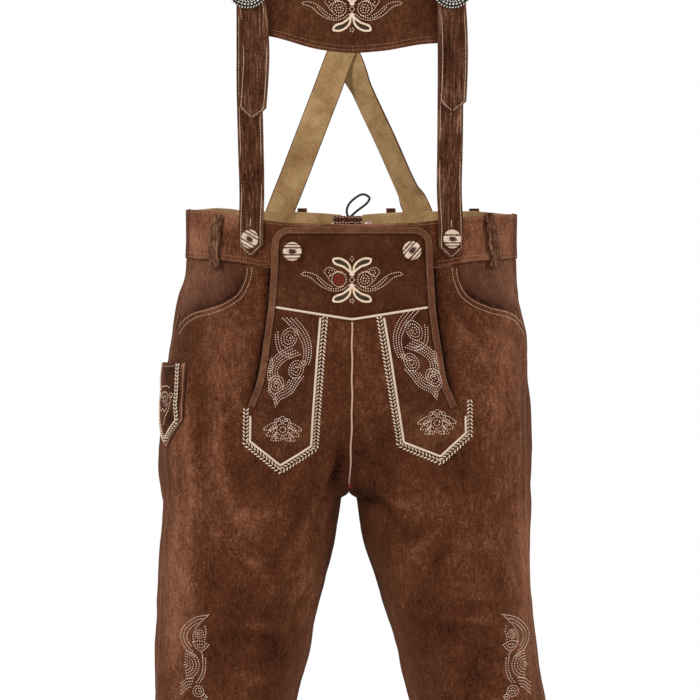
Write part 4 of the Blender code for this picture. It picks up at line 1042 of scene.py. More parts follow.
def fix_normals(piece):
    """Turns every face of a closed piece outwards."""
    work = bmesh.new()
    work.from_mesh(piece.data)
    bmesh.ops.recalc_face_normals(work, faces=work.faces)
    work.to_mesh(piece.data)
    work.free()
    return piece


def cut_hole(piece, centre, way, radius):
    """A round hole through a finished shell."""
    points, faces = turned(centre, way, ((0, -0.012), (radius, -0.012), (radius, 0.012), (0, 0.012)), 20)
    cutter = fix_normals(make("cutter", points, faces, [BROWN_EDGE]))
    cut = piece.modifiers.new("hole", "BOOLEAN")
    cut.operation = "DIFFERENCE"
    cut.solver = "EXACT"
    cut.object = cutter
    piece.data = worked(piece)
    bpy.data.objects.remove(cutter)


# ---------------------------------------------------------------- the flap

def flap_half(z):
    """Half the flap's width, rounded in at its top corners."""
    rise = np.clip(FLAP_TOP - z, 0, FLAP_CORNER)
    return slit(z) - FLAP_CORNER + np.sqrt(FLAP_CORNER ** 2 - (FLAP_CORNER - rise) ** 2)


def flap_yoke():
    """The flap's top, over the waistband, from the flap's top edge to the yoke seam."""
    us = steps(0.16, 0.0026)
    corner = FLAP_TOP - FLAP_CORNER * (1 - np.cos(np.linspace(0, math.pi / 2, 9)))
    vs = np.linspace(0, 1, 28)[1:]
    side = 2 * us - 1
    foot = straight(YOKE_SEAM, np.abs(side) * YOKE_HALF) + SEAM
    high = FLAP_TOP - FLAP_CORNER
    z = np.concatenate([np.broadcast_to(corner[:, None], (9, len(us))),
                        high + (foot[None] - high) * vs[:, None]])
    x = side[None] * (flap_half(z) - SLIT_HALF)
    outer, inner = on_front(x, z, YOKE_OUT + HIDE)[0], on_front(x, z, YOKE_OUT)[0]
    wear = 0.12 * WAVES.at(outer, 0.016) + 0.1 * np.exp(-((z + 0.06) / 0.02) ** 2)
    piece = shell("yoke_suede", outer, inner, grid(len(us), len(z)), DARK_LEATHER, wear)
    finished(piece, ["flap_yoke"])


def binding_line():
    """The flap's outline from the foot of one slit, over the top, to the foot of the other."""
    heights = np.linspace(-0.166, -0.0075, 60)
    left = [(float(slit(z)), z) for z in heights]
    middle = float(slit(-0.0075)) - FLAP_CORNER
    for a in np.linspace(0, math.pi / 2, 13)[1:]:
        left.append((middle + FLAP_CORNER * math.cos(a), FLAP_TOP - FLAP_CORNER * (1 - math.sin(a))))
    left += [(x, FLAP_TOP) for x in np.linspace(middle, 0.002, 20)[1:]]
    line = [(-x, z) for x, z in left] + [(0.0, FLAP_TOP)] + [(x, z) for x, z in reversed(left)]
    return np.array(line)


def beside(line, off):
    """The line moved square to itself, towards its right hand as it runs."""
    along = unit(np.gradient(line, axis=0))
    return line + np.stack([along[:, 1], -along[:, 0]], 1) * off


def flap_binding():
    """The turned edging of the flap: a band with a rounded back and a stitched inner edge."""
    line = binding_line()
    shares = np.array([SLIT_HALF / BINDING, 0.16, 0.3, 0.5, 0.7, 0.84, 0.93, 1.0])
    round_up = np.array([-0.0007, 0.0001, 0.0007, 0.0009, 0.0006, 0.0002, -0.0002, -0.0007])
    outer, inner = [], []
    for share, rise in zip(shares, round_up):
        places = beside(line, share * BINDING)
        x, z = places[:, 0], places[:, 1]
        out = TRIM_OUT - YOKE_OUT + lift(z)
        outer.append(on_front(x, z, out + TRIM + rise)[0])
        inner.append(on_front(x, z, out)[0])
    outer, inner = np.stack(outer, 1), np.stack(inner, 1)
    wear = 0.18 + 0.25 * WAVES.at(outer, 0.014) + 0.25 * np.array([1, .6, .1, .1, .1, .0, -.2, -.5])[None]
    piece = shell("flap_edging", outer, inner, grid(len(shares), len(line)), (EDGING, TAN, EDGING), wear, 0.1)
    finished(piece, ["flap_binding"])


def applique_foot(side, u):
    """Height of the panel's lower edge at a share of its width."""
    shape = APPLIQUE[side]
    inner_x, inner_z = shape["inner"][-1][1], shape["inner"][-1][0]
    (tip_x, tip_z), (corner_x, corner_z) = shape["tip"], shape["corner"]
    bend = (tip_x - inner_x) / (corner_x - inner_x)
    return np.interp(u, [0, bend, 1], [inner_z, tip_z, corner_z])


def applique_outer(side, z):
    """The outer edge: beside the flap's binding, then, below the binding's end, down to the corner."""
    corner_x, corner_z = APPLIQUE[side]["corner"]
    beside_slit = slit(np.maximum(z, FLAP_END)) - BINDING * 1.13 - 2 * SEAM
    below = straight(((corner_z, corner_x), (FLAP_END, corner_x - 0.002)), z)
    return np.where(z > FLAP_END - SEAM, beside_slit, below)


def applique(side):
    """A panel from the yoke seam to its pointed foot, stepped round the end of the binding."""
    us = steps(0.048, 0.0026)
    past_z, step_z = FLAP_END - 0.0042, FLAP_END - 0.0054
    high_v, low_v = np.linspace(0, 1, 36), np.linspace(0, 1, 16)
    rows = len(high_v) + len(low_v)
    z = np.full((rows, len(us)), -0.1)
    u = np.broadcast_to(us[None], z.shape)
    for _ in range(8):
        high_part = np.arange(rows)[:, None] < len(high_v)
        edge = applique_outer(side, np.where(high_part, np.maximum(z, FLAP_END), z))
        low_x = smooth(APPLIQUE[side]["inner"], z)
        x = low_x + (edge - low_x) * u
        top = straight(YOKE_SEAM, x[:len(high_v)]) - PIPING / 2 - 3 * SEAM
        z_high = top + (past_z - top) * high_v[:, None]
        z_low = step_z + (applique_foot(side, us)[None] - step_z) * low_v[:, None]
        z = np.concatenate([z_high, z_low])
    out = TRIM_OUT - YOKE_OUT + lift(z)
    outer = on_front(sign(side) * x, z, out + TRIM)[0]
    inner = on_front(sign(side) * x, z, out)[0]
    wear = 0.05 + 0.2 * WAVES.at(outer, 0.018) + 0.3 * np.exp(-((z + 0.19) / 0.03) ** 2)
    piece = shell("panel_suede_" + side, outer, inner, grid(len(us), rows), DARK_LEATHER, wear, 0.3)
    finished(piece, ["applique_" + side])


# ---------------------------------------------------------------- cords laid in seams

def tube(name, points, radius, finish, ways=None, nodes=()):
    """A cord along its points, with a map that runs round it and along it."""
    points = np.asarray(points, float)
    along = unit(np.gradient(points, axis=0))
    if ways is None:
        way = cross_ways(along[0])[0]
        rows = []
        for direction in along:
            way = way - direction * (way @ direction)
            way = way / np.linalg.norm(way)
            rows.append(way)
        ways = np.array(rows)
    ways = unit(ways - along * np.sum(ways * along, 1, keepdims=True))
    across = np.cross(along, ways)
    run = run_along(points)
    sides = 10
    angles = np.linspace(0, 2 * math.pi, sides, endpoint=False)
    size = np.full(len(points), radius)
    size[0] = size[-1] = radius * 0.6
    rings = [p + size[i] * (across[i] * np.cos(angles)[:, None] + ways[i] * np.sin(angles)[:, None])
             for i, p in enumerate(points)]
    count = len(points)
    verts = np.concatenate([np.concatenate(rings), points[[0, -1]]])
    faces = []
    for i in range(count - 1):
        for j in range(sides):
            n = (j + 1) % sides
            faces.append([i * sides + j, i * sides + n, (i + 1) * sides + n, (i + 1) * sides + j])
    first, last = count * sides, count * sides + 1
    for j in range(sides):
        n = (j + 1) % sides
        faces.append([first, n, j])
        faces.append([last, (count - 1) * sides + j, (count - 1) * sides + n])
    piece = make(name, verts, faces, [finish], smooth_angle=80)
    fix_normals(piece)
    lengths = np.concatenate([np.repeat(run, sides), [0, run[-1]]])
    turns = np.concatenate([np.tile(np.arange(sides) / sides, count), [0, 0]]) * 2 * math.pi * radius
    lay_map(piece, "along", np.stack([lengths, turns], 1))
    return finished(piece, nodes)


def pipings():
    """Pale cord in the yoke seam, down the centre seam and round the two sewn-on panels."""
    end = float(slit(-0.069)) - BINDING - 3 * SEAM
    x = np.linspace(-end, end, 90)
    z = straight(YOKE_SEAM, np.sqrt(x * x + 0.002 ** 2))
    points, ways = on_front(x, z, TRIM_OUT + 0.0007)
    tube("piping_cord_yoke", points, 0.0012, PIPED, ways=ways, nodes=["piping_yoke"])
    z = np.linspace(-0.0842, -0.2425, 90)
    x = form("middle", z) + 0.0003 * np.sin(z * 190)
    points, ways = on_front(x, z, lift(z) + HIDE + 0.0007)
    tube("piping_cord_centre", points, 0.00085, FINE_PIPED, ways=ways, nodes=["piping_centre"])
    for side in SIDES:
        line = piping_line(side, PIPING / 2 + 2 * SEAM)
        x, z = sign(side) * line[:, 0], line[:, 1]
        points, ways = on_front(x, z, lift(z) + HIDE + REST + 0.0008)
        tube("piping_cord_" + side, points, 0.00115, PIPED, ways=ways, nodes=["piping_" + side])


def closed_seams():
    """The joined edges of hide inside the back seam, and inside the front seam below its pale cord."""
    for place, name, top in ((on_back, "back", -0.028), (on_front, "front", -0.24)):
        z = np.linspace(top, CROTCH + 0.002, 110)
        points, ways = place(form("middle", z), z, HIDE * 0.45)
        tube("seam_edges_" + name, points, 0.00085, BROWN_EDGE, ways=ways)


def piping_line(side, gap):
    """The outline of a sewn-on panel's inner edge, foot and short outer edge, a gap outside it."""
    shape = APPLIQUE[side]
    z = np.linspace(-0.08, -0.196, 50)
    rows = [(float(smooth(shape["inner"], h)) - gap, h) for h in z]
    heel = (shape["inner"][-1][1] - gap, shape["inner"][-1][0] - gap * 0.6)
    tip = (shape["tip"][0], shape["tip"][1] - gap * 1.3)
    corner = (shape["corner"][0] + gap, shape["corner"][1] - gap * 0.5)
    for a, b, count in ((heel, tip, 18), (tip, corner, 14)):
        rows += [(a[0] + (b[0] - a[0]) * k / count, a[1] + (b[1] - a[1]) * k / count) for k in range(count)]
    rows += [corner, (corner[0] - 0.0004, corner[1] + 0.006), (corner[0] - 0.0008, -0.178 + gap * 0.5)]
    return even(np.array(rows), 0.0014)


def even(line, pace):
    """The same line with points an even pace apart."""
    line = np.asarray(line, float)
    run = run_along(line)
    count = max(2, int(round(run[-1] / pace)) + 1)
    marks = np.linspace(0, run[-1], count)
    return np.stack([np.interp(marks, run, line[:, k]) for k in range(line.shape[1])], 1)


# ---------------------------------------------------------------- knife pocket and belt loops

def side_arc_t(side, z, along):
    """Where round the form a point is that lies this far from the side, forward where negative."""
    t = np.full(z.shape, 0.41)
    pace = along / 24
    for _ in range(24):
        here = np.stack(section(side, t, z), -1)
        near = np.stack(section(side, t + 0.002, z), -1)
        t = t + 0.002 * pace / np.linalg.norm(near - here, axis=-1)
    return t


def knife_points(side_share, v, out):
    foot = KNIFE_TIP + (KNIFE_STRAIGHT - KNIFE_TIP) * np.abs(side_share)
    z = KNIFE_TOP + (foot - KNIFE_TOP) * v
    rise = KNIFE_SWELL * (1 - side_share ** 4) * np.minimum(1.0, (1 - v) * 3)
    t = side_arc_t("right", z, side_share * KNIFE_HALF)
    return at("right", t, z, HIDE + REST + rise + out)


def knife_pocket():
    """The narrow pocket for a knife on the right leg, sewn down at its edges, open at its top."""
    us, vs = steps(0.052, 0.0022), steps(0.07, 0.0022)
    v, u = np.meshgrid(vs, 2 * us - 1, indexing="ij")
    outer, inner = knife_points(u, v, HIDE), knife_points(u, v, 0.0)
    wear = 0.25 + 0.25 * WAVES.at(outer, 0.012) + 0.3 * np.exp(-(v / 0.05) ** 2)
    wear = wear - 0.9 * (np.abs(u) < 0.82) * (v < 0.95) + 0.25
    piece = shell("knife_pocket_suede", outer, inner, grid(len(us), len(vs)), LEATHER, wear, 0.3)
    finished(piece, ["knife_pocket"])


def belt_loop(name, place, x_top, x_foot, top, foot, crinkle):
    """A strap sewn down at both ends over the waistband; crinkle makes it wavy, as long wear does."""
    share = np.concatenate([[0.0], np.linspace(0.015, 0.985, 30), [1.0]])
    rise = np.interp(share, (0.0, 0.1, 0.22, 0.5, 0.78, 0.9, 1.0), (0.0, 0.0, 1.0, 1.0, 1.0, 0.0, 0.0))
    rise = rise * rise * (3 - 2 * rise)
    halves = np.array([-0.5, -0.44, -0.3, -0.1, 0.1, 0.3, 0.44, 0.5])
    z = top + (foot - top) * share
    x = x_top + (x_foot - x_top) * share + crinkle * 0.0006 * np.sin(share * 17)
    out = BAND + REST + LOOP_GAP * rise + crinkle * 0.0005 * np.sin(share * 31)
    swell = 0.0003 * (1 - (2 * halves) ** 2)
    xs = x[:, None] + halves[None] * LOOP_WIDTH * (1 - 0.14 * crinkle * np.sin(share * 9)[:, None])
    zs = np.broadcast_to(z[:, None], xs.shape)
    outer = place(xs, zs, out[:, None] + LOOP_WALL + swell[None])[0]
    inner = place(xs, zs, np.broadcast_to(out[:, None], xs.shape))[0]
    wear = 0.3 * (np.abs(halves) > 0.4)[None] + 0.3 * FINER.at(outer, 0.006) + 0.1
    quads = grid(len(halves), len(share))
    return shell(name, outer, inner, quads, (BROWN_STRAP, SUEDE_DARK, BROWN_STRAP), wear, 0.3)


def belt_loops():
    rows = (("front_left", on_front, 0.133, 0.14, 0.025, -0.029, 1.0),
            ("front_right", on_front, -0.13, -0.135, 0.0225, -0.03, 0.6),
            ("back_left", on_back, 0.039, 0.039, 0.032, -0.029, 0.4),
            ("back_right", on_back, -0.05, -0.05, 0.032, -0.029, 0.3),
            ("side_left", on_back, 0.121, 0.123, 0.0315, -0.028, 0.5),
            ("side_right", on_back, -0.136, -0.137, 0.0315, -0.028, 0.4))
    for name, *rest in rows:
        finished(belt_loop("belt_loop_" + name, *rest), ["loop_" + name])


# ---------------------------------------------------------------- braces

def facing(x, degrees_out, ahead):
    turn = math.radians(degrees_out) * (1 if x > 0 else -1)
    return np.array([math.sin(turn), ahead * math.cos(turn), 0])


def front_strap_line(side):
    """Centres and ways of the front strap, from its point on the waistband to the buckle's bar."""
    x = STRAP_AT[side]
    out = BAND + ON_BAND + STRAP_WALL / 2
    centres, ways = [], []
    aside, foot = STRAP_FOOT[side]
    for z in (foot, -0.008, 0.003, 0.012):
        centre, way = on_front(x + aside, z, out)
        centres.append(centre)
        ways.append(way)
    for z, y in CHEST_LINE:
        if z < BUCKLE_Z:
            centres.append(np.array([x + aside * max(0.0, 1 - (z - 0.012) / 0.13), y, z]))
            share = min(1.0, (z - 0.012) / 0.1)
            ways.append(ways[3] + (facing(x, FACING, -1) - ways[3]) * share)
    centres.append(np.array([x, -0.1192, BUCKLE_Z - 0.006]))
    ways.append(facing(x, FACING, -1))
    return np.array(centres), np.array(ways)


def shoulder_strap_line(side):
    """Centres and ways of the long strap, from its loose end in front to its point at the back."""
    x = STRAP_AT[side]
    end_x = BACK_STRAP_AT[side]
    over = STRAP_WALL + REST + 0.0002
    layer = 0.0 if side == "left" else STRAP_WALL + 0.0012
    aside = LOOSE_ASIDE[side]
    centres = [(x + aside * share, float(straight(CHEST_LINE, z)) - over, z)
               for z, share in ((END_Z[side] - 0.006, 0.35), (0.155, 0.8), (0.185, 1.0), (0.215, 0.7))]
    centres += [(x, -0.1192 - over, BUCKLE_Z), (x, -0.1185 - over * 0.6, 0.272)]
    centres += [(x, y, z) for z, y in CHEST_LINE if z >= 0.3]
    centres.append((x, 0.0, SHOULDER))
    ways = [facing(x, FACING, -1)] * (len(centres) - 3)
    ways += [np.array([0.05, -0.6, 0.6]), np.array([0.02, -0.4, 0.9]), np.array([0, 0, 1.0])]
    for z, y in BACK_LINE:
        if z > CROSS_Z:
            share = (z - CROSS_Z) / (0.43 - CROSS_Z)
            place = CROSS_X + (x * 0.985 - CROSS_X) * share ** 0.96
        else:
            place = CROSS_X + (end_x - CROSS_X) * (CROSS_Z - z) / (CROSS_Z - LOW_BACK)
        near = max(0.0, 1 - abs(z - CROSS_Z) / 0.09)
        centres.append((place, y + layer * near, z))
        ways.append(np.array([0, 1, max(0.0, (z - 0.33) * 4)]))
    out = BAND + ON_BAND + STRAP_WALL / 2
    direction = (end_x - CROSS_X) / (CROSS_Z - LOW_BACK)
    centres = [np.array(c, float) for c in centres]
    for z in (0.024, 0.01, -0.006, -0.019):
        centre, way = on_back(end_x + direction * (LOW_BACK - z) * 0.6, z, out)
        centres.append(centre)
        ways.append(way)
    return np.array(centres), np.array(ways)


def strap_frames(side, kind):
    """A strap's fine centres, ways, and ways across, twisted as the solid is."""
    if kind == "front":
        centres, ways = front_strap_line(side)
        centres, ways = spline(centres, 26), spline(ways, 26)
    else:
        centres, ways = shoulder_strap_line(side)
        centres, ways = spline(centres, 62), spline(ways, 62)
        if side == "right":
            for i, centre in enumerate(centres):
                if centre[1] > 0.08 and centre[2] < 0.19:
                    starts = min(1.0, (0.19 - centre[2]) / 0.035)
                    ends = min(1.0, max(0.0, centre[2] - 0.03) / 0.022)
                    turn = TURN * starts * ends
                    if turn > 0.01:
                        ways[i] = (math.sin(turn), math.cos(turn), 0)
    run = run_along(centres)
    marks = np.arange(0, run[-1], 0.0022)
    marks = np.concatenate([marks, [run[-1]]])
    places = run / run[-1]
    centres = np.stack([smooth(list(zip(places, centres[:, k])), marks / run[-1]) for k in range(3)], 1)
    ways = np.stack([smooth(list(zip(places, ways[:, k])), marks / run[-1]) for k in range(3)], 1)
    along = unit(np.gradient(centres, axis=0))
    ways = unit(ways - along * np.sum(ways * along, 1, keepdims=True))
    across = np.cross(along, ways)
    return centres, ways, across, marks


def half_width(marks, kind):
    """Half the strap's width along it, drawn in to a point at each free end."""
    wide = FRONT_STRAP if kind == "front" else STRAP
    half = np.full(len(marks), wide / 2)
    if kind == "front":
        half = half + 0.0012 * np.exp(-(marks / 0.05) ** 2)
    for reach in (marks,) if kind == "front" else (marks, marks[-1] - marks):
        near = np.clip(reach / STRAP_POINT, 0, 1)
        half = np.minimum(half, 0.0016 + (wide / 2 - 0.0016) * near)
    return half


def strap(side, kind):
    """A brace strap: suede outside, tan inside, softly cupped and a little wavy."""
    centres, ways, across, marks = strap_frames(side, kind)
    half = half_width(marks, kind)
    shares = np.array([-1, -0.94, -0.8, -0.5, -0.2, 0.2, 0.5, 0.8, 0.94, 1.0])
    cup = 0.0004 * (1 - shares ** 2)
    wave = 0.0005 * np.sin(marks * 61 + (1.0 if side == "left" else 2.6)) * np.sin(marks * 17)
    wave = wave * np.clip(np.minimum(marks, marks[-1] - marks) / 0.05, 0, 1)
    middle = centres[:, None] + across[:, None] * (half[:, None] * shares[None])[..., None]
    middle = middle + ways[:, None] * wave[:, None, None]
    outer = middle + ways[:, None] * (STRAP_WALL / 2 + cup)[None, :, None]
    inner = middle - ways[:, None] * (STRAP_WALL / 2 - cup * 0.5)[None, :, None]
    wear = 0.22 * (np.abs(shares) > 0.9)[None] + 0.3 * WAVES.at(outer * (1, 1, 0.35), 0.007) - 0.05
    piece = shell("strap_" + kind + "_suede_" + side, outer, inner, grid(len(shares), len(marks)),
                  (BROWN_STRAP, TAN, BROWN_EDGE), wear, 0.25)
    quads = (len(shares) - 1) * (len(marks) - 1)
    for k in range(quads, 2 * quads):
        if (k - quads) % (len(shares) - 1) in (0, len(shares) - 2):
            piece.data.polygons[k].material_index = 2
    node = "strap_front_" + side if kind == "front" else "strap_shoulder_" + side
    finished(piece, [node])


def notch_tongue():
    """The tongue behind the lacing in the notch, quilted in pale rows on the side that shows."""
    profile = ((-0.0232, -0.0012), (-0.017, -0.006), (-0.009, -0.0122), (0.008, -0.0128), (0.025, -0.0124))

    def place(u, v, out):
        z = 0.025 + (-0.0232 - 0.025) * v
        return on_back(-0.0195 + 0.03 * u, z, straight(profile, z) + out)[0]
    laid("tongue_suede", 0.03, 0.048, 0.0026, place, -TRIM, 0.0, (SUEDE_DARK, SUEDE_DARK, BROWN_EDGE), None,
         ["notch_tongue"])
    rows = []
    for k in range(7):
        x = np.linspace(-0.0185, 0.0095, 30)
        z = 0.0236 - k * 0.0026 + 0.0004 * np.sin(x * 700 + k)
        points, ways = on_back(x, z, straight(profile, z) - TRIM - 0.0002)
        rows.append((points, -ways))
    sew("tongue_rows", rows, RED_BROWN,
        [dict(Spacing=0.002, Length=0.0022, Thickness=0.0009, Lean=0.7, Uneven=0.2)])
    sew("tongue_pale_rows", rows[::2], SOFT_CREAM,
        [dict(Spacing=0.003, Length=0.0026, Thickness=0.0009, Lean=-0.55, Uneven=0.35, Lift=0.0003)])


def chest_place(x, z, out):
    """Points on the chest piece, which bows forward between the braces."""
    bulge = 0.0125 * (1 - (x / 0.1) ** 2)
    y = straight(CHEST_LINE, z) + 0.0018 - bulge - out
    return np.stack(np.broadcast_arrays(x, y, z), -1)


def chest_piece():
    """The cross piece behind both braces, hollowed at its top edge and pointed below."""
    def place(u, v, out):
        x = (2 * u - 1) * CHEST_HALF
        low = smooth(CHEST_FOOT, x)
        high = CHEST_TOP - 0.01 * (1 - (x / CHEST_HALF) ** 2)
        z = high + (low - high) * v
        wave = 0.0005 * WAVES.at(np.stack([x, 0 * x, z], -1), 0.03)
        return chest_place(x, z, out + wave)

    def rub(u, v, points):
        return 0.15 + 0.25 * np.exp(-((1 - v) / 0.04) ** 2) + 0.15 * WAVES.at(points, 0.02)
    laid("chest_suede", 0.227, 0.09, 0.0026, place, -HIDE, 0.0, DARK_LEATHER, rub, ["chest_piece"])


# ---------------------------------------------------------------- thread laid by a node tree

THREAD_INPUTS = (("Spacing", 0.002), ("Length", 0.0016), ("Thickness", 0.0005), ("Aside", 0.0), ("Lean", 0.0),
                 ("Lift", 0.0), ("Uneven", 0.1))


def thread_tree():
    """Lays a short stitch at each step along lines: each line's points carry the way out."""
    tree = bpy.data.node_groups.new("laid_thread", "GeometryNodeTree")
    socket = tree.interface.new_socket
    socket("Geometry", in_out="INPUT", socket_type="NodeSocketGeometry")
    for name, value in THREAD_INPUTS:
        socket(name, in_out="INPUT", socket_type="NodeSocketFloat").default_value = value
    socket("Thread", in_out="INPUT", socket_type="NodeSocketMaterial")
    socket("Geometry", in_out="OUTPUT", socket_type="NodeSocketGeometry")

    def add(kind, inputs, **values):
        """Adds a node with its inputs joined or set, and gives its outputs."""
        node = tree.nodes.new(kind)
        for key, value in values.items():
            setattr(node, key, value)
        for key, source in inputs.items():
            if isinstance(source, bpy.types.NodeSocket):
                tree.links.new(source, node.inputs[key])
            else:
                node.inputs[key].default_value = source
        return node.outputs

    given = add("NodeGroupInput", {})
    line = add("GeometryNodeMeshToCurve", {"Mesh": given["Geometry"]})[0]
    line = add("GeometryNodeResampleCurve", {"Curve": line, "Length": given["Spacing"]}, mode="LENGTH")[0]
    along = add("GeometryNodeInputTangent", {})[0]
    way = add("GeometryNodeInputNamedAttribute", {"Name": "way"}, data_type="FLOAT_VECTOR")["Attribute"]
    across = add("ShaderNodeVectorMath", {0: along, 1: way}, operation="CROSS_PRODUCT")[0]
    aside = add("ShaderNodeVectorMath", {0: across, "Scale": given["Aside"]}, operation="SCALE")[0]
    raised = add("ShaderNodeVectorMath", {0: way, "Scale": given["Lift"]}, operation="SCALE")[0]
    moved = add("ShaderNodeVectorMath", {0: aside, 1: raised}, operation="ADD")[0]
    spots = add("GeometryNodeSetPosition", {"Geometry": line, "Offset": moved})[0]
    up = add("FunctionNodeAlignRotationToVector", {"Vector": way}, axis="Z")[0]
    run = add("FunctionNodeAlignRotationToVector", {"Rotation": up, "Vector": along}, axis="X",
              pivot_axis="Z")[0]
    jitter = add("FunctionNodeRandomValue", {"Min": -1.0, "Max": 1.0, "Seed": 7}, data_type="FLOAT")[1]
    shaky = add("ShaderNodeMath", {0: jitter, 1: given["Uneven"]}, operation="MULTIPLY")[0]
    lean = add("ShaderNodeMath", {0: shaky, 1: given["Lean"]}, operation="ADD")[0]
    spin = add("FunctionNodeAxisAngleToRotation", {"Axis": (0, 0, 1), "Angle": lean})[0]
    turn = add("FunctionNodeRotateRotation", {"Rotation": run, "Rotate By": spin}, rotation_space="LOCAL")[0]
    stitch = add("GeometryNodeMeshUVSphere", {"Segments": 5, "Rings": 4, "Radius": 0.5})["Mesh"]
    lying = add("GeometryNodeTransform", {"Geometry": stitch, "Rotation": (0, math.pi / 2, 0)})[0]
    thick = given["Thickness"]
    size = add("ShaderNodeCombineXYZ", {"X": given["Length"], "Y": thick, "Z": thick})[0]
    sown = add("GeometryNodeInstanceOnPoints",
               {"Points": spots, "Instance": lying, "Rotation": turn, "Scale": size})[0]
    real = add("GeometryNodeRealizeInstances", {0: sown})[0]
    soft = add("GeometryNodeSetShadeSmooth", {0: real})[0]
    dyed = add("GeometryNodeSetMaterial", {"Geometry": soft, "Material": given["Thread"]})[0]
    add("NodeGroupOutput", {0: dyed})
    return tree


TREE = thread_tree()
SOCKETS = {item.name: item.identifier for item in TREE.interface.items_tree if item.in_out == "INPUT"}


def laid_lines(name, lines):
    """A wire of separate lines; each line is (points, ways)."""
    points, edges, ways, start = [], [], [], 0
    for line, way in lines:
        points.append(line)
        ways.append(way)
        edges += [(start + k, start + k + 1) for k in range(len(line) - 1)]
        start += len(line)
    mesh = bpy.data.meshes.new(name)
    mesh.from_pydata(np.concatenate(points).tolist(), edges, [])
    attribute = mesh.attributes.new("way", "FLOAT_VECTOR", "POINT")
    attribute.data.foreach_set("vector", np.concatenate(ways).astype(np.float32).ravel())
    return in_scene(name, mesh)


def sew(name, lines, finish, rows):
    """Stitches along lines; each row of stitches is a dict of the tree's inputs."""
    meshes = []
    for row in rows:
        wire = laid_lines(name, lines)
        laying = wire.modifiers.new("thread", "NODES")
        laying.node_group = TREE
        for key, value in dict(row, Thread=finish).items():
            laying[SOCKETS[key]] = value
        meshes.append(worked(wire))
        bpy.data.objects.remove(wire)
    return joined(name, meshes)


def joined(name, meshes):
    """Several plain meshes as one piece."""
    work = bmesh.new()
    for mesh in meshes:
        work.from_mesh(mesh)
    whole = bpy.data.meshes.new(name)
    work.to_mesh(whole)
    work.free()
    for finish in meshes[0].materials:
        whole.materials.append(finish)
    whole.shade_smooth()
    return finished(in_scene(name, whole), ())


def front_line(line, out):
    """A line of (across, up) on the front, laid this far out, as (points, ways)."""
    line = even(line, 0.0012)
    return on_front(line[:, 0], line[:, 1], out if not callable(out) else out(line[:, 0], line[:, 1]))


def round_line(side, rows, out):
    """A line of (round, up) on one half, laid this far out."""
    x, y = section(side, rows[:, 0], rows[:, 1])
    run = run_along(np.stack([x, y, rows[:, 1]], 1))
    marks = np.linspace(0, run[-1], max(2, int(run[-1] / 0.0016)))
    t, z = np.interp(marks, run, rows[:, 0]), np.interp(marks, run, rows[:, 1])
    way = out_of(side, t, z)
    way[:, 0] *= sign(side)
    return at(side, t, z, out), way


TOP = {"Spacing": 0.003, "Length": 0.0023, "Thickness": 0.00055, "Uneven": 0.08}
FINE = {"Spacing": 0.0023, "Length": 0.0015, "Thickness": 0.0012, "Uneven": 0.45}


def t_shift(side, t, z, distance):
    """Where round the form a place is, this far on from t."""
    here = np.stack(section(side, t, z), -1)
    near = np.stack(section(side, t + 0.001, z), -1)
    return t + 0.001 * distance / np.maximum(np.linalg.norm(near - here, axis=-1), 1e-7)


def topstitching():
    """Double rows along the pocket mouths, waistband, side and centre seams, and hems."""
    lines, soft = [], []

    def row(side, t, z, under=HIDE, keep=slice(None)):
        places = np.stack(np.broadcast_arrays(t, z), 1)[keep]
        lines.append(round_line(side, places, under + 0.0001))

    for side in SIDES:
        mouth = spline(POCKET_MOUTH, 60)
        for off in (0.0018, 0.0062):
            shifted = beside(mouth, off)
            shifted = shifted[(shifted[:, 1] < -0.031) & (shifted[:, 0] < 0.171)]
            shifted[:, 0] *= sign(side)
            soft.append(front_line(shifted, HIDE + 0.0001))
        front_t, back_t = np.linspace(0.02, 0.415, 90), np.linspace(0.435, 0.985, 110)
        front_x, back_x = section(side, front_t, 0.0)[0], section(side, back_t, 0.0)[0]
        for off in (0.0022, 0.0062):
            row(side, front_t, straight(WAIST_SEAM, front_x) + off, BAND, front_x > 0.084)
        row(side, front_t, rim(FRONT_RIM, side, front_x) - 0.0028, BAND)
        for off in (0.0022, 0.0062):
            row(side, back_t, straight(BACK_SEAM, back_x) + off, BAND)
        row(side, back_t, rim(BACK_RIM, side, back_x) - 0.0028, BAND, back_x > 0.016)
        z = np.linspace(-0.036, HEM + 0.012, 200)
        for off in (0.0022, 0.0064):
            row(side, t_shift(side, side_seam(z), z, off), z)
        z = np.linspace(-0.034, -0.225, 100)
        for off in (-0.0024, -0.0066):
            row(side, t_shift(side, np.full(z.shape, 0.999), z, off), z)
        for off in (0.012, 0.016):
            row(side, np.linspace(0.001, 0.999, 260), HEM + off)
    sew("topstitch_body", lines, PALE_BROWN, [TOP])
    sew("topstitch_pockets", soft, SOFT_CREAM, [dict(TOP, Spacing=0.0027)])
    edging = binding_line()
    rows = [front_line(beside(edging, BINDING * share),
                       lambda x, z: TRIM_OUT - YOKE_OUT + lift(z) + TRIM + 0.0002) for share in (0.16, 0.88)]
    sew("topstitch_flap", rows, PALE_BROWN, [dict(TOP, Spacing=0.0027, Length=0.0021, Thickness=0.0005)])


def sew_fishbone(name, lines, spacing, long, thick, aside):
    """Pale slanting stitches in two rows over a narrow strip of dark crosswise thread that is painted shade.
    """
    # Painted shade: a strip of close dark thread under and between the pale stitches.
    ground = 2 * (aside + long * 0.34)
    sew(name + "_ground", lines, DARK_THREAD_AND_SHADE,
        [dict(Spacing=0.0007, Length=ground, Thickness=0.0012, Lean=1.57, Uneven=0.05, Lift=-0.0004)])
    rows = [dict(Spacing=spacing, Length=long, Thickness=thick, Aside=way * aside, Lean=way * 0.7, Uneven=0.1,
                 Lift=0.0003) for way in (1, -1)]
    sew(name, lines, CREAM, rows)


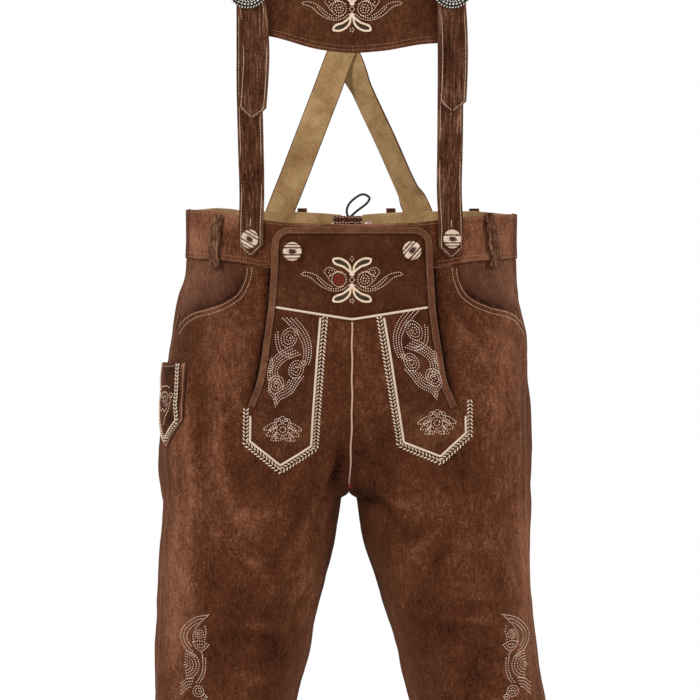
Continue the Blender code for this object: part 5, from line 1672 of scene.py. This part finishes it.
def knife_path(share, top, foot, out, down=60, over=60):
    """A line on the knife pocket: down beside one edge, along the foot, and up beside the other."""
    v = np.linspace(top, foot, down)
    u = [np.full(down, -share), np.linspace(-share, share, over)[1:], np.full(down - 1, share)]
    u, v = np.concatenate(u), np.concatenate([v, np.full(over - 1, foot), v[::-1][1:]])
    line = even(knife_points(u, v, HIDE + out), 0.0014)
    return line, knife_ways(line)


def fishbone():
    """Slanting stitches in two rows outside each sewn-on panel's piping, and on the knife pocket."""
    lines = []
    for side in SIDES:
        corner_x = APPLIQUE[side]["corner"][0]
        extra = np.array([(corner_x + 0.006 - 0.001, -0.171 if side == "right" else -0.163)])
        line = even(np.concatenate([piping_line(side, 0.006), extra]), 0.0012)
        x, z = sign(side) * line[:, 0], line[:, 1]
        points, ways = on_front(x, z, lift(z) * (x * sign(side) < slit(z)) + HIDE + 0.0002)
        if side == "right":
            points, ways = points[::-1], ways[::-1]
        lines.append((points, ways))
    sew_fishbone("fishbone_panels", lines, 0.0037, 0.0042, 0.0016, 0.0018)
    line = knife_path(0.72, 0.04 * 0.955, 0.965 * 0.955, 0.0002)
    sew_fishbone("fishbone_knife_pocket", [line], 0.0036, 0.0042, 0.0017, 0.002)
    mouth = knife_points(np.linspace(-0.95, 0.95, 40), np.full(40, 0.05), HIDE + 0.0001)
    outline = [knife_path(0.955, 0.03, 0.985, 0.0001, 40, 50), (mouth, knife_ways(mouth))]
    sew("topstitch_knife_pocket", outline, SOFT_CREAM, [dict(TOP, Spacing=0.0024, Length=0.0019)])


def knife_motif():
    """A small curl, leaf and rings on the knife pocket, in cream and red-brown."""
    def on_pocket(line):
        u, v = (line[:, 0] * 1.15 + 0.001) / KNIFE_HALF, line[:, 1] / 0.074
        points = even(knife_points(u, v, HIDE + 0.0002), 0.0009)
        return points, knife_ways(points)

    pale = [curl(-0.001, 0.0325, 0.0066, 0.0056, 100, 0.9), curl(-0.001, 0.0325, 0.003, 0.0026, 0, 0.95),
            spline([(-0.01, 0.025), (-0.004, 0.0215), (0.004, 0.0225), (0.01, 0.0275)], 30),
            spline([(-0.009, 0.04), (-0.003, 0.044), (0.003, 0.043), (0.008, 0.048), (0.013, 0.045)], 40),
            spline([(-0.014, 0.037), (-0.01, 0.047), (-0.004, 0.05), (0.001, 0.056)], 40),
            leaf(0.009, 0.033, 20, 0.007, 0.0024), leaf(-0.01, 0.033, 160, 0.0065, 0.0022)]
    brown = [curl(-0.001, 0.0325, 0.0048, 0.0042, 30, 0.95), curl(0.0085, 0.026, 0.003, 0.002, 10, 1),
             curl(-0.0085, 0.042, 0.0028, 0.002, 10, 1), curl(0.004, 0.04, 0.003, 0.0022, 90, 1)]
    sew("knife_motif_pale", [on_pocket(line) for line in pale], SOFT_CREAM, [FINE])
    sew("knife_motif_brown", [on_pocket(line) for line in brown], RED_BROWN, [dict(FINE, Spacing=0.0014)])


def knife_ways(points):
    """The way out at points on the knife pocket."""
    z = points[:, 2]
    t = np.full(len(points), 0.47)
    for _ in range(3):
        grid_t = np.linspace(0.28, 0.58, 60)
        x, y = section("right", grid_t[None], z[:, None])
        gap = (form("middle", z)[:, None] - x - points[:, :1]) ** 2 + (y - points[:, 1:2]) ** 2
        t = grid_t[gap.argmin(1)]
    way = out_of("right", t, z)
    way[:, 0] *= -1
    return way


# ---------------------------------------------------------------- embroidery

def curl(x, z, first, last, start, turns, flip=1):
    """A spiral from one radius to another, as (across, up) points."""
    share = np.linspace(0, 1, max(12, int(26 * abs(turns))))
    radius = first + (last - first) * share
    angle = math.radians(start) + 2 * math.pi * turns * share
    return np.stack([x + flip * radius * np.cos(angle), z + radius * np.sin(angle)], 1)


def leaf(x, z, direction, long, wide):
    """A leaf's closed outline from its stalk, pointing in a direction in degrees."""
    share = np.linspace(0, 1, 16)
    side = wide * np.sin(math.pi * share ** 0.8)
    top, low = np.stack([share * long, side], 1), np.stack([share * long, -side], 1)
    ring = np.concatenate([top, low[::-1][1:]])
    a = math.radians(direction)
    turn = np.array([[math.cos(a), math.sin(a)], [-math.sin(a), math.cos(a)]])
    return ring @ turn + (x, z)


def flower(x, z, wide, tall):
    """A small blossom seen flat: an eye, petals echoed round it, and a wing of leaves to each side."""
    lines = rings(x, z, (tall * 0.13, tall * 0.26), 40)
    a = np.linspace(0, 2 * math.pi, 70)
    for size in (0.36, 0.46):
        petal = 1 + 0.16 * np.cos(6 * a)
        lines.append(np.stack([x + tall * size * petal * np.cos(a), z + tall * size * petal * np.sin(a)], 1))
    for way in (-1, 1):
        for rise, size in ((0.1, 1.0), (-0.14, 0.86), (-0.34, 0.62)):
            wing = ((0.16, 0.22), (0.34 * size, 0.12), (0.5 * size, -0.1), (0.32 * size, -0.12),
                    (0.18, -0.02))
            lines.append(spline([(x + way * wide * over, z + tall * (rise + up)) for over, up in wing], 40))
    crown = ((-0.12, 0.42), (0, 0.56), (0.12, 0.42))
    lines.append(spline([(x + wide * over, z + tall * rise) for over, rise in crown], 20))
    return lines


def echoes(rows, offsets, count=70, trim=4):
    """A flowing line through the given points with copies beside it, each a little shorter."""
    line = spline(np.array(rows, float), count)
    lines = []
    for k, off in enumerate(offsets):
        lines.append(beside(line, off)[k * trim:count - k * trim])
    return lines


def rings(u, v, sizes, start):
    """Open rings one in another."""
    return [curl(u, v, size, size * 0.88, start, 0.93) for size in sizes]


def spaced(count, gap=2.5):
    """Offsets of echo lines, a gap apart."""
    return [gap * k for k in range(count)]


def panel_drawing():
    """A tall scroll in millimetres across and down from its tip: plume, eyes, and flowing echoes."""
    plume = ((14, 0), (4, 7), (-7, 16), (-15, 26), (-18, 35), (-17.5, 43), (-12, 49))
    lines = echoes(plume, [-off for off in spaced(4, 3.0)])
    lines += rings(2.3, 19.5, (10.4, 7.0, 3.6, 0.8), 200)
    lines += echoes(((17, 14), (15, 22), (11, 30), (3, 35), (-5, 36)), spaced(2, 3.2))
    lines += echoes(((-14, 36), (-5, 39), (4, 43), (10.5, 50), (9, 58), (2, 66)), spaced(5, 2.9), trim=4)
    lines += rings(-11.5, 51, (9.4, 6.2, 3.0), 120)
    lines += rings(9.5, 66, (9.6, 6.4, 3.2, 0.8), -60)
    lines += echoes(((-22, 58), (-16, 66), (-12, 73), (-5, 78), (2, 81), (7, 88)), spaced(5, 2.9), trim=4)
    lines += echoes(((7, 88), (11, 80), (18, 73), (18.5, 65)), spaced(2))
    lines += echoes(((20, 40), (17, 47), (19, 54)), spaced(2))
    lines += [curl(-19.5, 44.5, 2.2, 2.1, 0, 1), curl(19, 59, 2.0, 1.9, 0, 1)]
    return lines


def knee_drawing():
    """The knee's scroll in millimetres: a crescent, an eye, a leaf, rings about a seed, and folds below."""
    crescent = ((10.5, 0), (-1.5, 2.5), (-8.5, 6.5), (-14.5, 13), (-17, 21), (-15.5, 29), (-11, 36), (-4, 42))
    lines = echoes(crescent, spaced(3, 2.9), 90, 7)
    lines += [spline([(10.5, 0), (3.5, 6.5), (-2.0, 12.5), (-5.5, 20), (-5.0, 27)], 40)]
    lines += rings(0.6, 20.0, (4.6, 2.4, 0.6), 215)
    lines += [spline([(6.4, 12), (7.2, 18), (5.6, 25)], 18)]
    lines += [spline([(9.5, 30.5), (4, 26.9), (-1, 26.6), (-5.5, 28)], 24),
              spline([(9.5, 30.5), (6, 34.5), (1.5, 36.5), (-3, 33), (-5.5, 28)], 30),
              spline([(6, 30.6), (2.5, 29.6), (-1.5, 30.2)], 14),
              spline([(5, 32.2), (2, 33.6), (-1, 32)], 14),
              spline([(1.5, 36.5), (3.5, 40), (3.5, 43)], 12)]
    for k in range(5):
        reach = 2.7 + 2.8 * k
        turn = np.linspace(-1.45, 1.45, 24)
        lines.append(np.stack([-13.5 + reach * np.cos(turn), 50.5 + reach * np.sin(turn)], 1))
    lines += [curl(-13.5, 50.5, 0.9, 0.9, 0, 1)]
    lines += echoes(((3.5, 42.5), (4.0, 52), (2.0, 61), (-2.5, 68)), (0, 2.6))
    for k in range(4):
        lines.append(spline([(-5.5 - k, 64 + 2.9 * k), (-12, 64.5 + 3.2 * k), (-17.5, 69 + 3.6 * k)], 30))
    lines += rings(-0.5, 76.5, (5.8, 3.2, 0.8), 20)
    lines += [curl(5.0, 82.5, 2.8, 2.6, 0, 1), curl(5.0, 82.5, 0.8, 0.7, 0, 1)]
    return lines


def put_drawing(drawing, x, top, wide, tall, lean=0.0, flip=1):
    """The drawing's lines as (across, up) places."""
    return [np.stack([x + flip * (line[:, 0] * wide + line[:, 1] * lean), top - line[:, 1] * tall], 1)
            for line in drawing]


# The motif's lines, in millimetres away from its middle and up, as on its right half.
SATIN_LEAF = ((0, 4.7), (-5, 9.2), (-9.5, 12.6), (-15, 14.4), (-18.4, 16.6), (-19.6, 20.6), (-18, 22),
              (-12.5, 22.4), (-6.8, 20.2), (-2.6, 16.4), (-0.9, 12.4), (-0.3, 4.7))
LEAF_VEINS = (((-2.6, 8.6), (-8, 13.2), (-15.6, 17.8)), ((-3.2, 10.4), (-8, 15.4), (-15.4, 19.6)),
              ((-3.2, 12.6), (-7.4, 17.6), (-13.2, 20.4)))
WING = (((-45.5, 7.8), (-38.3, 6.3), (-32.2, 2.7), (-25, -3.5), (-20, -6.5)),
        ((-45.5, 7.8), (-49, 6.8), (-49, 5), (-43.5, 3.7), (-38.3, 0.6), (-32.2, -5), (-25, -9), (-16.8, -11),
         (-8.6, -9), (-3.5, -5)),
        ((-34, 1.6), (-28, -4.4), (-22, -8.2), (-15, -8.6), (-9, -6)),
        ((-24, 3.5), (-27, 8), (-24, 12.2), (-19, 11.6), (-14, 8.4), (-6.5, 5.6)),
        ((-21, 5), (-23, 8), (-21, 10), (-17, 8.4)), ((-20, -2), (-23, 1.5), (-20, 5.5), (-14, 8.4)))


def motif(x, z, place, name, seed_red=True):
    """Four satin-edged leaves about a heart, with dotted wings, curls and small drops."""
    thick, fill, dots, red = [], [], [], []
    for across in (-1, 1):
        for up in (1, -1):
            flip = np.array([-across, up]) * 0.001
            thick.append(beside(spline(np.array(SATIN_LEAF) * flip, 90), -0.001 * across * up))
            fill += [spline(np.array(rows) * flip, 30) for rows in LEAF_VEINS]
        flip = np.array([-across, 1]) * 0.001
        dots += [spline(np.array(rows) * flip, 60) for rows in WING]
        thick.append(np.array([(0.0, 0.0036 * across), (0.0, 0.0085 * across)]))
        heart = -across * 0.0125
        for ring in (0.0078, 0.0046, 0.002):
            seed = red if across > 0 and ring < 0.005 and seed_red else dots
            seed.append(curl(heart, 0.0004, ring, ring * 0.86, 70, 0.92, across))
    dots.append(leaf(0, 0.019, 90, 0.0042, 0.0016))
    dots.append(curl(0, -0.0206, 0.0019, 0.0019, 0, 1))
    dots.append(curl(0, 0, 0.0024, 0.0022, 0, 1))
    origin = np.array([x, z])

    def put(lines):
        return [place(even(line + origin, 0.0009)) for line in lines]
    sew(name + "_fill", put(fill), LEAF_FILL,
        [dict(Spacing=0.0005, Length=0.003, Thickness=0.0007, Lean=1.2, Uneven=0.15, Lift=-0.0001)])
    sew(name + "_satin", put(thick), CREAM,
        [dict(Spacing=0.00042, Length=0.0025, Thickness=0.0008, Lean=1.25, Uneven=0.14, Lift=0.0003)])
    sew(name + "_dots", put(dots), SOFT_CREAM, [FINE])
    if red:
        sew(name + "_red", put(red), RED, [dict(FINE, Spacing=0.0012)])


def embroidery():
    """The big motif on the yoke and chest, scrolls and blossoms on the panels, and knee scrolls."""
    def on_yoke(line):
        return on_front(line[:, 0], line[:, 1], YOKE_OUT + HIDE + 0.0001)

    def on_panel(line):
        return on_front(line[:, 0], line[:, 1], TRIM_OUT - YOKE_OUT + lift(line[:, 1]) + TRIM + 0.0001)

    def on_leg(line):
        return on_front(line[:, 0], line[:, 1], HIDE + 0.0001)

    def on_chest(line):
        points = chest_place(line[:, 0], line[:, 1], 0.0002 + 0.0004)
        lean = 0.025 * line[:, 0] / 0.01
        return points, unit(np.stack([lean * 0.8, -np.ones(len(line)), 0 * lean], 1))

    motif(0.0, -0.043, on_yoke, "yoke_motif")
    motif(0.0, 0.2264, on_chest, "chest_motif", seed_red=False)
    for side, x, top, lean, flip, fx, fz in (("right", -0.056, -0.081, 0.00016, -1, -0.069, -0.1905),
                                             ("left", 0.0532, -0.074, 0.00028, 1, 0.084, -0.184)):
        lines = put_drawing(panel_drawing(), x, top, 0.0008, 0.00098, lean, flip)
        lines += flower(fx, fz, 0.038, 0.024)
        sew("panel_scroll_" + side, [on_panel(even(line, 0.0009)) for line in lines], ROSE_CREAM, [FINE])
        knee_x, turned_over = (-0.152, 1) if side == "right" else (0.1585, -1)
        lines = put_drawing(knee_drawing(), knee_x, -0.3755, 0.001, 0.001, 0.0, turned_over)
        lines += put_drawing(knee_drawing(), knee_x, -0.464, 0.00092, 0.00092, 0.0, -turned_over)
        sew("knee_scroll_" + side, [on_leg(even(line, 0.0009)) for line in lines], ROSE_CREAM, [FINE])


def strap_stitching():
    """Outlines sewn 2 mm in from the strap edges, buttonholes, and the fork's red tack."""
    lines, holes = [], []
    for side in SIDES:
        for kind in ("front", "shoulder"):
            centres, ways, across, marks = strap_frames(side, kind)
            half = half_width(marks, kind)
            inset = np.minimum(half - 0.0026, half.max() - 0.0024)
            keep = inset > -0.0002
            for way in (-1, 1):
                line = centres + across * (way * inset)[:, None] + ways * (STRAP_WALL / 2 + 0.0002)
                lines.append((line[keep], ways[keep]))
            starts = [0.03] if kind == "front" else [marks[-1] - 0.03]
            for begin in starts:
                near = (marks > begin - 0.001) & (marks < begin + 0.009)
                holes.append(((centres + ways * (STRAP_WALL / 2 + 0.0006))[near], ways[near]))
    sew("strap_outline_stitches", lines, SOFT_CREAM,
        [dict(TOP, Spacing=0.0025, Length=0.0022, Thickness=0.00075)])
    sew("buttonhole_stitches", holes, SOFT_CREAM,
        [dict(Spacing=0.0006, Length=0.0011, Thickness=0.0005, Lean=1.57)])
    z = np.linspace(-0.2405, -0.2475, 12)
    x = form("middle", z) + 0.0004
    tack = on_front(x, z, HIDE + 0.0006)
    sew("fork_tack", [tack], RED, [dict(Spacing=0.0006, Length=0.0032, Thickness=0.0006, Lean=1.57)])
    line = chest_edge_lines()
    sew("chest_stitches", line, PALE_BROWN, [dict(TOP, Spacing=0.0028)])


def chest_edge_lines():
    """Rows along the chest piece's edges."""
    x = np.linspace(-0.079, 0.079, 120)
    lines = []
    for off in (0.003, 0.0068):
        high = CHEST_TOP - 0.01 * (1 - (x / CHEST_HALF) ** 2) - off
        for z in (smooth(CHEST_FOOT, x) + off, high):
            lines.append((chest_place(x, z, 0.0003), np.tile((0, -1.0, 0), (len(x), 1))))
    return lines


# ---------------------------------------------------------------- buttons, buckles, eyelets

# A button's outline from its back round to its sunk middle, in shares of its radius and height.
BUTTON_SHAPE = ((0, 0), (0.8, 0), (0.97, 0.22), (1, 0.45), (0.985, 0.68), (0.92, 0.9), (0.82, 1), (0.7, 0.97),
                (0.58, 0.84), (0.46, 0.74), (0.3, 0.72), (0.15, 0.72), (0, 0.72))


def button(name, centre, way, angle):
    """A domed horn disc with a raised rim and a sunk middle; buttons() sews its thread there."""
    points, faces = turned(centre, way, [(BUTTON * r, BUTTON_HEIGHT * h) for r, h in BUTTON_SHAPE], 48)
    piece = make(name, points, faces, [HORN], smooth_angle=60)
    fix_normals(piece)
    side, other = cross_ways(way)
    turn = math.radians(angle)
    along = side * math.cos(turn) + other * math.sin(turn)
    aside = -side * math.sin(turn) + other * math.cos(turn)
    flat = np.stack([(points - centre) @ along, (points - centre) @ aside], 1) / BUTTON
    lay_map(piece, "across", flat)
    return piece, along, aside


def mark_button(piece, centre, along, aside, bars, block):
    """Brown streaks: whole bars across the disc, and a short block at its middle."""
    co = np.zeros(len(piece.data.vertices) * 3)
    piece.data.vertices.foreach_get("co", co)
    co = co.reshape(-1, 3) - centre
    u, v = co @ along / BUTTON, co @ aside / BUTTON
    mark = np.zeros(len(co))
    for middle, half in bars:
        mark = np.maximum(mark, np.clip(1.25 - np.abs(v - middle) / half * 0.5, 0, 1) ** 2)
    bu, bv = block
    mark = np.maximum(mark, np.clip(1.4 - np.maximum(np.abs(u) / bu, np.abs(v) / bv) * 0.8, 0, 1))
    attribute = piece.data.attributes.new("mark", "FLOAT", "POINT")
    attribute.data.foreach_set("value", mark.astype(np.float32))


def finer(piece):
    """Splits a piece's faces so that its marks stay crisp."""
    split = piece.modifiers.new("finer", "SUBSURF")
    split.subdivision_type = "SIMPLE"
    split.levels = split.render_levels = 2
    piece.data = worked(piece)


def buttons():
    on_strap = BAND + ON_BAND + STRAP_WALL + 0.0005
    right, left = (STRAP_AT[side] + STRAP_FOOT[side][0] for side in ("right", "left"))
    rows = [("strap_right", on_front, right, -0.002, on_strap, -28,
             ((-0.74, 0.07), (-0.4, 0.08), (0.38, 0.08), (0.76, 0.06))),
            ("strap_left", on_front, left, -0.002, on_strap, 0, ((-0.4, 0.09), (0.42, 0.08), (0.74, 0.07))),
            ("flap_right", on_front, -0.058, -0.0148, TRIM_OUT, 0,
             ((-0.7, 0.06), (-0.38, 0.08), (0.36, 0.09), (0.72, 0.06))),
            ("flap_left", on_front, 0.0582, -0.0138, TRIM_OUT, 48,
             ((-0.66, 0.08), (-0.34, 0.07), (0.4, 0.1), (0.74, 0.06)))]
    for side in SIDES:
        end_x = BACK_STRAP_AT[side]
        lean = (end_x - CROSS_X) / (CROSS_Z - LOW_BACK)
        rows.append(("back_" + side, on_back, end_x + lean * LOW_BACK * 0.6, -0.0005, on_strap,
                     20 * sign(side), ((-0.7, 0.06), (-0.38, 0.08), (0.4, 0.08))))
    for name, place, x, z, out, angle, bars in rows:
        centre, way = place(x, z, out)
        piece, along, aside = button("horn_button_" + name, centre, way, angle)
        finer(piece)
        mark_button(piece, centre, along, aside, bars, (0.4, 0.24))
        finished(piece, ["button_" + name])
        lines = []
        for off in (-0.0014, -0.0006, 0.0006, 0.0014):
            share = np.linspace(-1, 1, 9)
            bow = 0.0006 * (1 - share ** 2)
            line = (centre + along * (share * 0.0021)[:, None] + aside * off
                    + way * (BUTTON_HEIGHT * 0.72 + bow)[:, None])
            lines.append((line, np.tile(way, (9, 1))))
        sew("button_thread_" + name, lines, DARK_THREAD_AND_SHADE,
            [dict(Spacing=0.0007, Length=0.0012, Thickness=0.0007, Uneven=0.05)])


def ring_line(middle, across, up, radius):
    """A ring's line, a little wider than tall."""
    angles = np.linspace(0, 2 * math.pi, 121)
    spoke = across * (np.cos(angles) * 1.06)[:, None] + up * np.sin(angles)[:, None]
    return middle + spoke * radius


def buckle(side):
    """A cast ring with a roped outer edge, a row of beads, a fine inner rope and a prong."""
    x = STRAP_AT[side]
    way = facing(x, FACING, -1)
    up = np.array([0, 0, 1.0])
    across = np.cross(up, way)
    middle = np.array([x, -0.1192, BUCKLE_Z]) + way * (STRAP_WALL * 1.5 + REST * 2 + 0.0026)
    turns = 96
    profile = mm(((-4.2, -0.6), (-3.6, 1), (-2.2, 1.4), (0, 0.9), (2.2, 1.4), (3.6, 1), (4.2, -0.6),
                  (3.6, -2), (0, -2.4), (-3.6, -2)))
    angles = np.linspace(0, 2 * math.pi, turns, endpoint=False)
    spoke = across * (np.cos(angles) * 1.06)[:, None] + up * np.sin(angles)[:, None]
    rings = np.stack([middle + spoke * (0.0152 + off) + way * rise for off, rise in profile], 1)
    sides = len(profile)
    faces = []
    for k in range(turns):
        for j in range(sides):
            n, m = (k + 1) % turns, (j + 1) % sides
            faces.append([k * sides + j, k * sides + m, n * sides + m, n * sides + j])
    base = fix_normals(make("buckle_ring_" + side, rings.reshape(-1, 3), faces, [OLD_SILVER]))
    finished(base, ["buckle_" + side])
    ways = np.tile(way, (121, 1))
    rows = ((0.0184, 0.0029, 0.0036, 0.0016, 0.85, 0.0006), (0.0156, 0.0034, 0.0024, 0.0023, 0.0, 0.0014),
            (0.0129, 0.0028, 0.0033, 0.0015, -0.8, 0.0011))
    for k, (radius, spacing, long, thick, lean, high) in enumerate(rows):
        line = ring_line(middle + way * high, across, up, radius)
        sew("buckle_beads_" + side + "_" + str(k), [(line, ways)], SILVER,
            [dict(Spacing=spacing, Length=long, Thickness=thick, Lean=lean, Uneven=0.06)])
    prong = [middle + up * (0.0002 + 0.0158 * s) + way * h for s, h in
             ((0.06, -0.003), (0.12, -0.0004), (0.3, 0.0006), (0.6, 0.0012), (0.85, 0.0022), (1, 0.0026),
              (1.1, 0.0022))]
    tube("buckle_prong_" + side, spline(prong, 24), 0.001, SILVER)
    bar = [middle + across * s * 0.0172 + up * 0.0007 - way * d for s, d in
           ((-1, 0.003), (-1, 0.006), (-0.93, 0.0072), (0, 0.0074), (0.93, 0.0072), (1, 0.006), (1, 0.003))]
    tube("buckle_bar_round_" + side, spline(bar, 40), 0.0009, OLD_SILVER, nodes=["buckle_bar_" + side])


def eyelets():
    """Turned rings with a rolled flange on each face of the back waistband."""
    low, high = -BAND / 2 - 0.0004, BAND / 2 + 0.0004
    profile = ((0.002, low), (0.0023, low - 0.0005), (0.0032, low - 0.0007), (0.0042, low - 0.0001),
               (0.0041, low), (0.0029, low), (0.0029, high), (0.0041, high), (0.0042, high + 0.0001),
               (0.0032, high + 0.0007), (0.0023, high + 0.0005), (0.002, high))
    for side in SIDES:
        for level, (x, z) in zip(("low", "high"), EYELETS):
            centre, way = on_back(sign(side) * x, z, BAND / 2)
            points, faces = turned(centre, way, profile, 32)
            piece = fix_normals(make("eyelet_ring_" + side + "_" + level, points, faces, [SILVER]))
            finished(piece, ["eyelet_" + side + "_" + level])


def lace():
    """The lace at the back: through the four eyelets, a loop above the rim and two loose ends."""
    route = np.array([on_back(x, z, out)[0] for x, out, z in LACE_ROUTE])
    points = spline(route, 220)
    piece = tube("lace_cord_back", points, LACE / 2, LACED, nodes=["lace_back"])
    tuple(points[0])
    [tuple(p) for p in points]
    return piece


# ---------------------------------------------------------------- camera, before all else

CAMERA_DISTANCE = 10.0
lens = bpy.data.cameras.new("camera")
lens.sensor_width = 36.0
lens.lens = 36.0 * CAMERA_DISTANCE / 0.7
lens.clip_start, lens.clip_end = 0.1, 60.0
camera = in_scene("camera", lens)
camera.location = (-0.002, -0.06 - CAMERA_DISTANCE, -0.112)
camera.rotation_euler = (math.pi / 2, 0, 0)
bpy.context.scene.camera = camera

# ---------------------------------------------------------------- making it all

lace()
for one in SIDES:
    front_panel(one)
    back_panel(one)
    pocket_facing(one)
    slit_facing(one)
    waistband_front(one)
    waistband_back(one)
    applique(one)
    strap(one, "front")
    strap(one, "shoulder")
    buckle(one)
flap_yoke()
flap_binding()
pipings()
closed_seams()
knife_pocket()
belt_loops()
chest_piece()
notch_tongue()
topstitching()
fishbone()
embroidery()
knife_motif()
strap_stitching()
buttons()
eyelets()


# ---------------------------------------------------------------- the cut of each piece of hide

# Piece, its cut's width, length and area (left, then right), what it is sewn to or lies on, how it is held.
# A name that ends in _ stands for a left and a right one.
CUTS = (
    ("suede_front_", ((0.262, 0.562, 0.117), (0.266, 0.562, 0.119)), ("suede_back_",), "hung"),
    ("suede_back_", ((0.366, 0.64, 0.1705), (0.372, 0.64, 0.174)), ("suede_front_",), "hung"),
    ("facing_pocket_", ((0.107, 0.112, 0.0109), (0.113, 0.112, 0.0114)), ("suede_front_",), "hung"),
    ("facing_slit_", ((0.0225, 0.127, None),) * 2, ("suede_front_",), "hung"),
    ("waistband_suede_front_", ((0.2, 0.048, 0.0092), (0.202, 0.052, 0.0094)), ("suede_front_",), "hung"),
    ("waistband_suede_back_", ((0.272, 0.054, 0.0133), (0.273, 0.058, 0.0135)), ("suede_back_",), "hung"),
    ("yoke_suede", ((0.169, 0.093, 0.0139),), ("waistband_suede_front_left", "waistband_suede_front_right"),
     "hung"),
    ("panel_suede_", ((0.07, 0.155, 0.0066), (0.072, 0.156, 0.0073)), ("suede_front_",), "laid"),
    ("knife_pocket_suede", ((0.062, 0.085, 0.0044),), ("suede_front_right", "suede_back_right"), "laid"),
    ("tongue_suede", ((0.03, 0.053, None),), ("waistband_suede_back_left",), "hung"),
    ("chest_suede", ((0.233, 0.087, 0.0189),), ("strap_front_suede_left", "strap_front_suede_right"), "hung"),
    ("strap_front_suede_", ((0.0262, 0.266, 0.0069),) * 2, ("buckle_ring_",), "stretched"),
    ("strap_shoulder_suede_", ((0.0285, 0.95, 0.0267), (0.0285, 0.96, 0.027)), ("buckle_ring_",),
     "stretched"),
)
SEWN_ON = {
    "waistband_suede_front_": ("belt_loop_front_",),
    "waistband_suede_back_": ("belt_loop_back_", "belt_loop_side_"),
    "yoke_suede": ("flap_edging",),
}


def named(names, side):
    return [name + side if name.endswith("_") else name for name in names]


for stem, cuts, under, held in CUTS:
    for side, (wide, long, area) in zip(SIDES, cuts):
        piece, *sewn = (bpy.data.objects[name] for name in named((stem, *SEWN_ON.get(stem, ())), side))
        named(under, side)

# ---------------------------------------------------------------- stage and light

floor_mesh = bpy.data.meshes.new("floor")
floor_mesh.from_pydata([(-5, -5, -1.06), (5, -5, -1.06), (5, 5, -1.06), (-5, 5, -1.06)], [], [(0, 1, 2, 3)])
floor = in_scene("floor", floor_mesh)
floor_finish = Finish("floor")
floor_finish.set(Base_Color=floor_finish.mix(floor_finish.noise(3.0), (0.84, 0.84, 0.83), (0.88, 0.88, 0.87)),
                 Roughness=0.9, Specular_IOR_Level=0.1)
floor_mesh.materials.append(floor_finish.material)

scene = bpy.context.scene
world = bpy.data.worlds.new("studio")
scene.world = world
world.use_nodes = True
sky, links = world.node_tree.nodes, world.node_tree.links
lighting = sky["Background"]
lighting.inputs["Color"].default_value = (1.0, 0.99, 0.98, 1.0)
lighting.inputs["Strength"].default_value = 0.2
seen = sky.new("ShaderNodeBackground")
seen.inputs["Color"].default_value = (1.0, 1.0, 1.0, 1.0)
seen.inputs["Strength"].default_value = 1.0
ray = sky.new("ShaderNodeLightPath")
blend = sky.new("ShaderNodeMixShader")
links.new(ray.outputs["Is Camera Ray"], blend.inputs[0])
links.new(lighting.outputs[0], blend.inputs[1])
links.new(seen.outputs[0], blend.inputs[2])
links.new(blend.outputs[0], sky["World Output"].inputs["Surface"])


def lamp(name, place, target, size, power_watts):
    """A square soft light, aimed at a point."""
    light = bpy.data.lights.new(name, "AREA")
    light.size = size
    light.energy = power_watts
    light.color = (1.0, 0.97, 0.94)
    made = in_scene(name, light)
    made.location = place
    made.rotation_euler = (Vector(target) - Vector(place)).to_track_quat("-Z", "Y").to_euler()


lamp("key_left", (-2.6, -1.9, 1.5), (0, 0, -0.1), 0.9, 52)
lamp("key_right", (2.7, -1.7, 1.2), (0, 0, -0.1), 0.9, 44)
lamp("low_front", (0.0, -3.0, 0.3), (0, 0, -0.2), 1.4, 12)
lamp("back_left", (-2.1, 2.5, 1.5), (0, 0, -0.1), 1.4, 36)
lamp("back_right", (2.1, 2.5, 1.4), (0, 0, -0.1), 1.4, 32)

scene.view_settings.view_transform = "Standard"
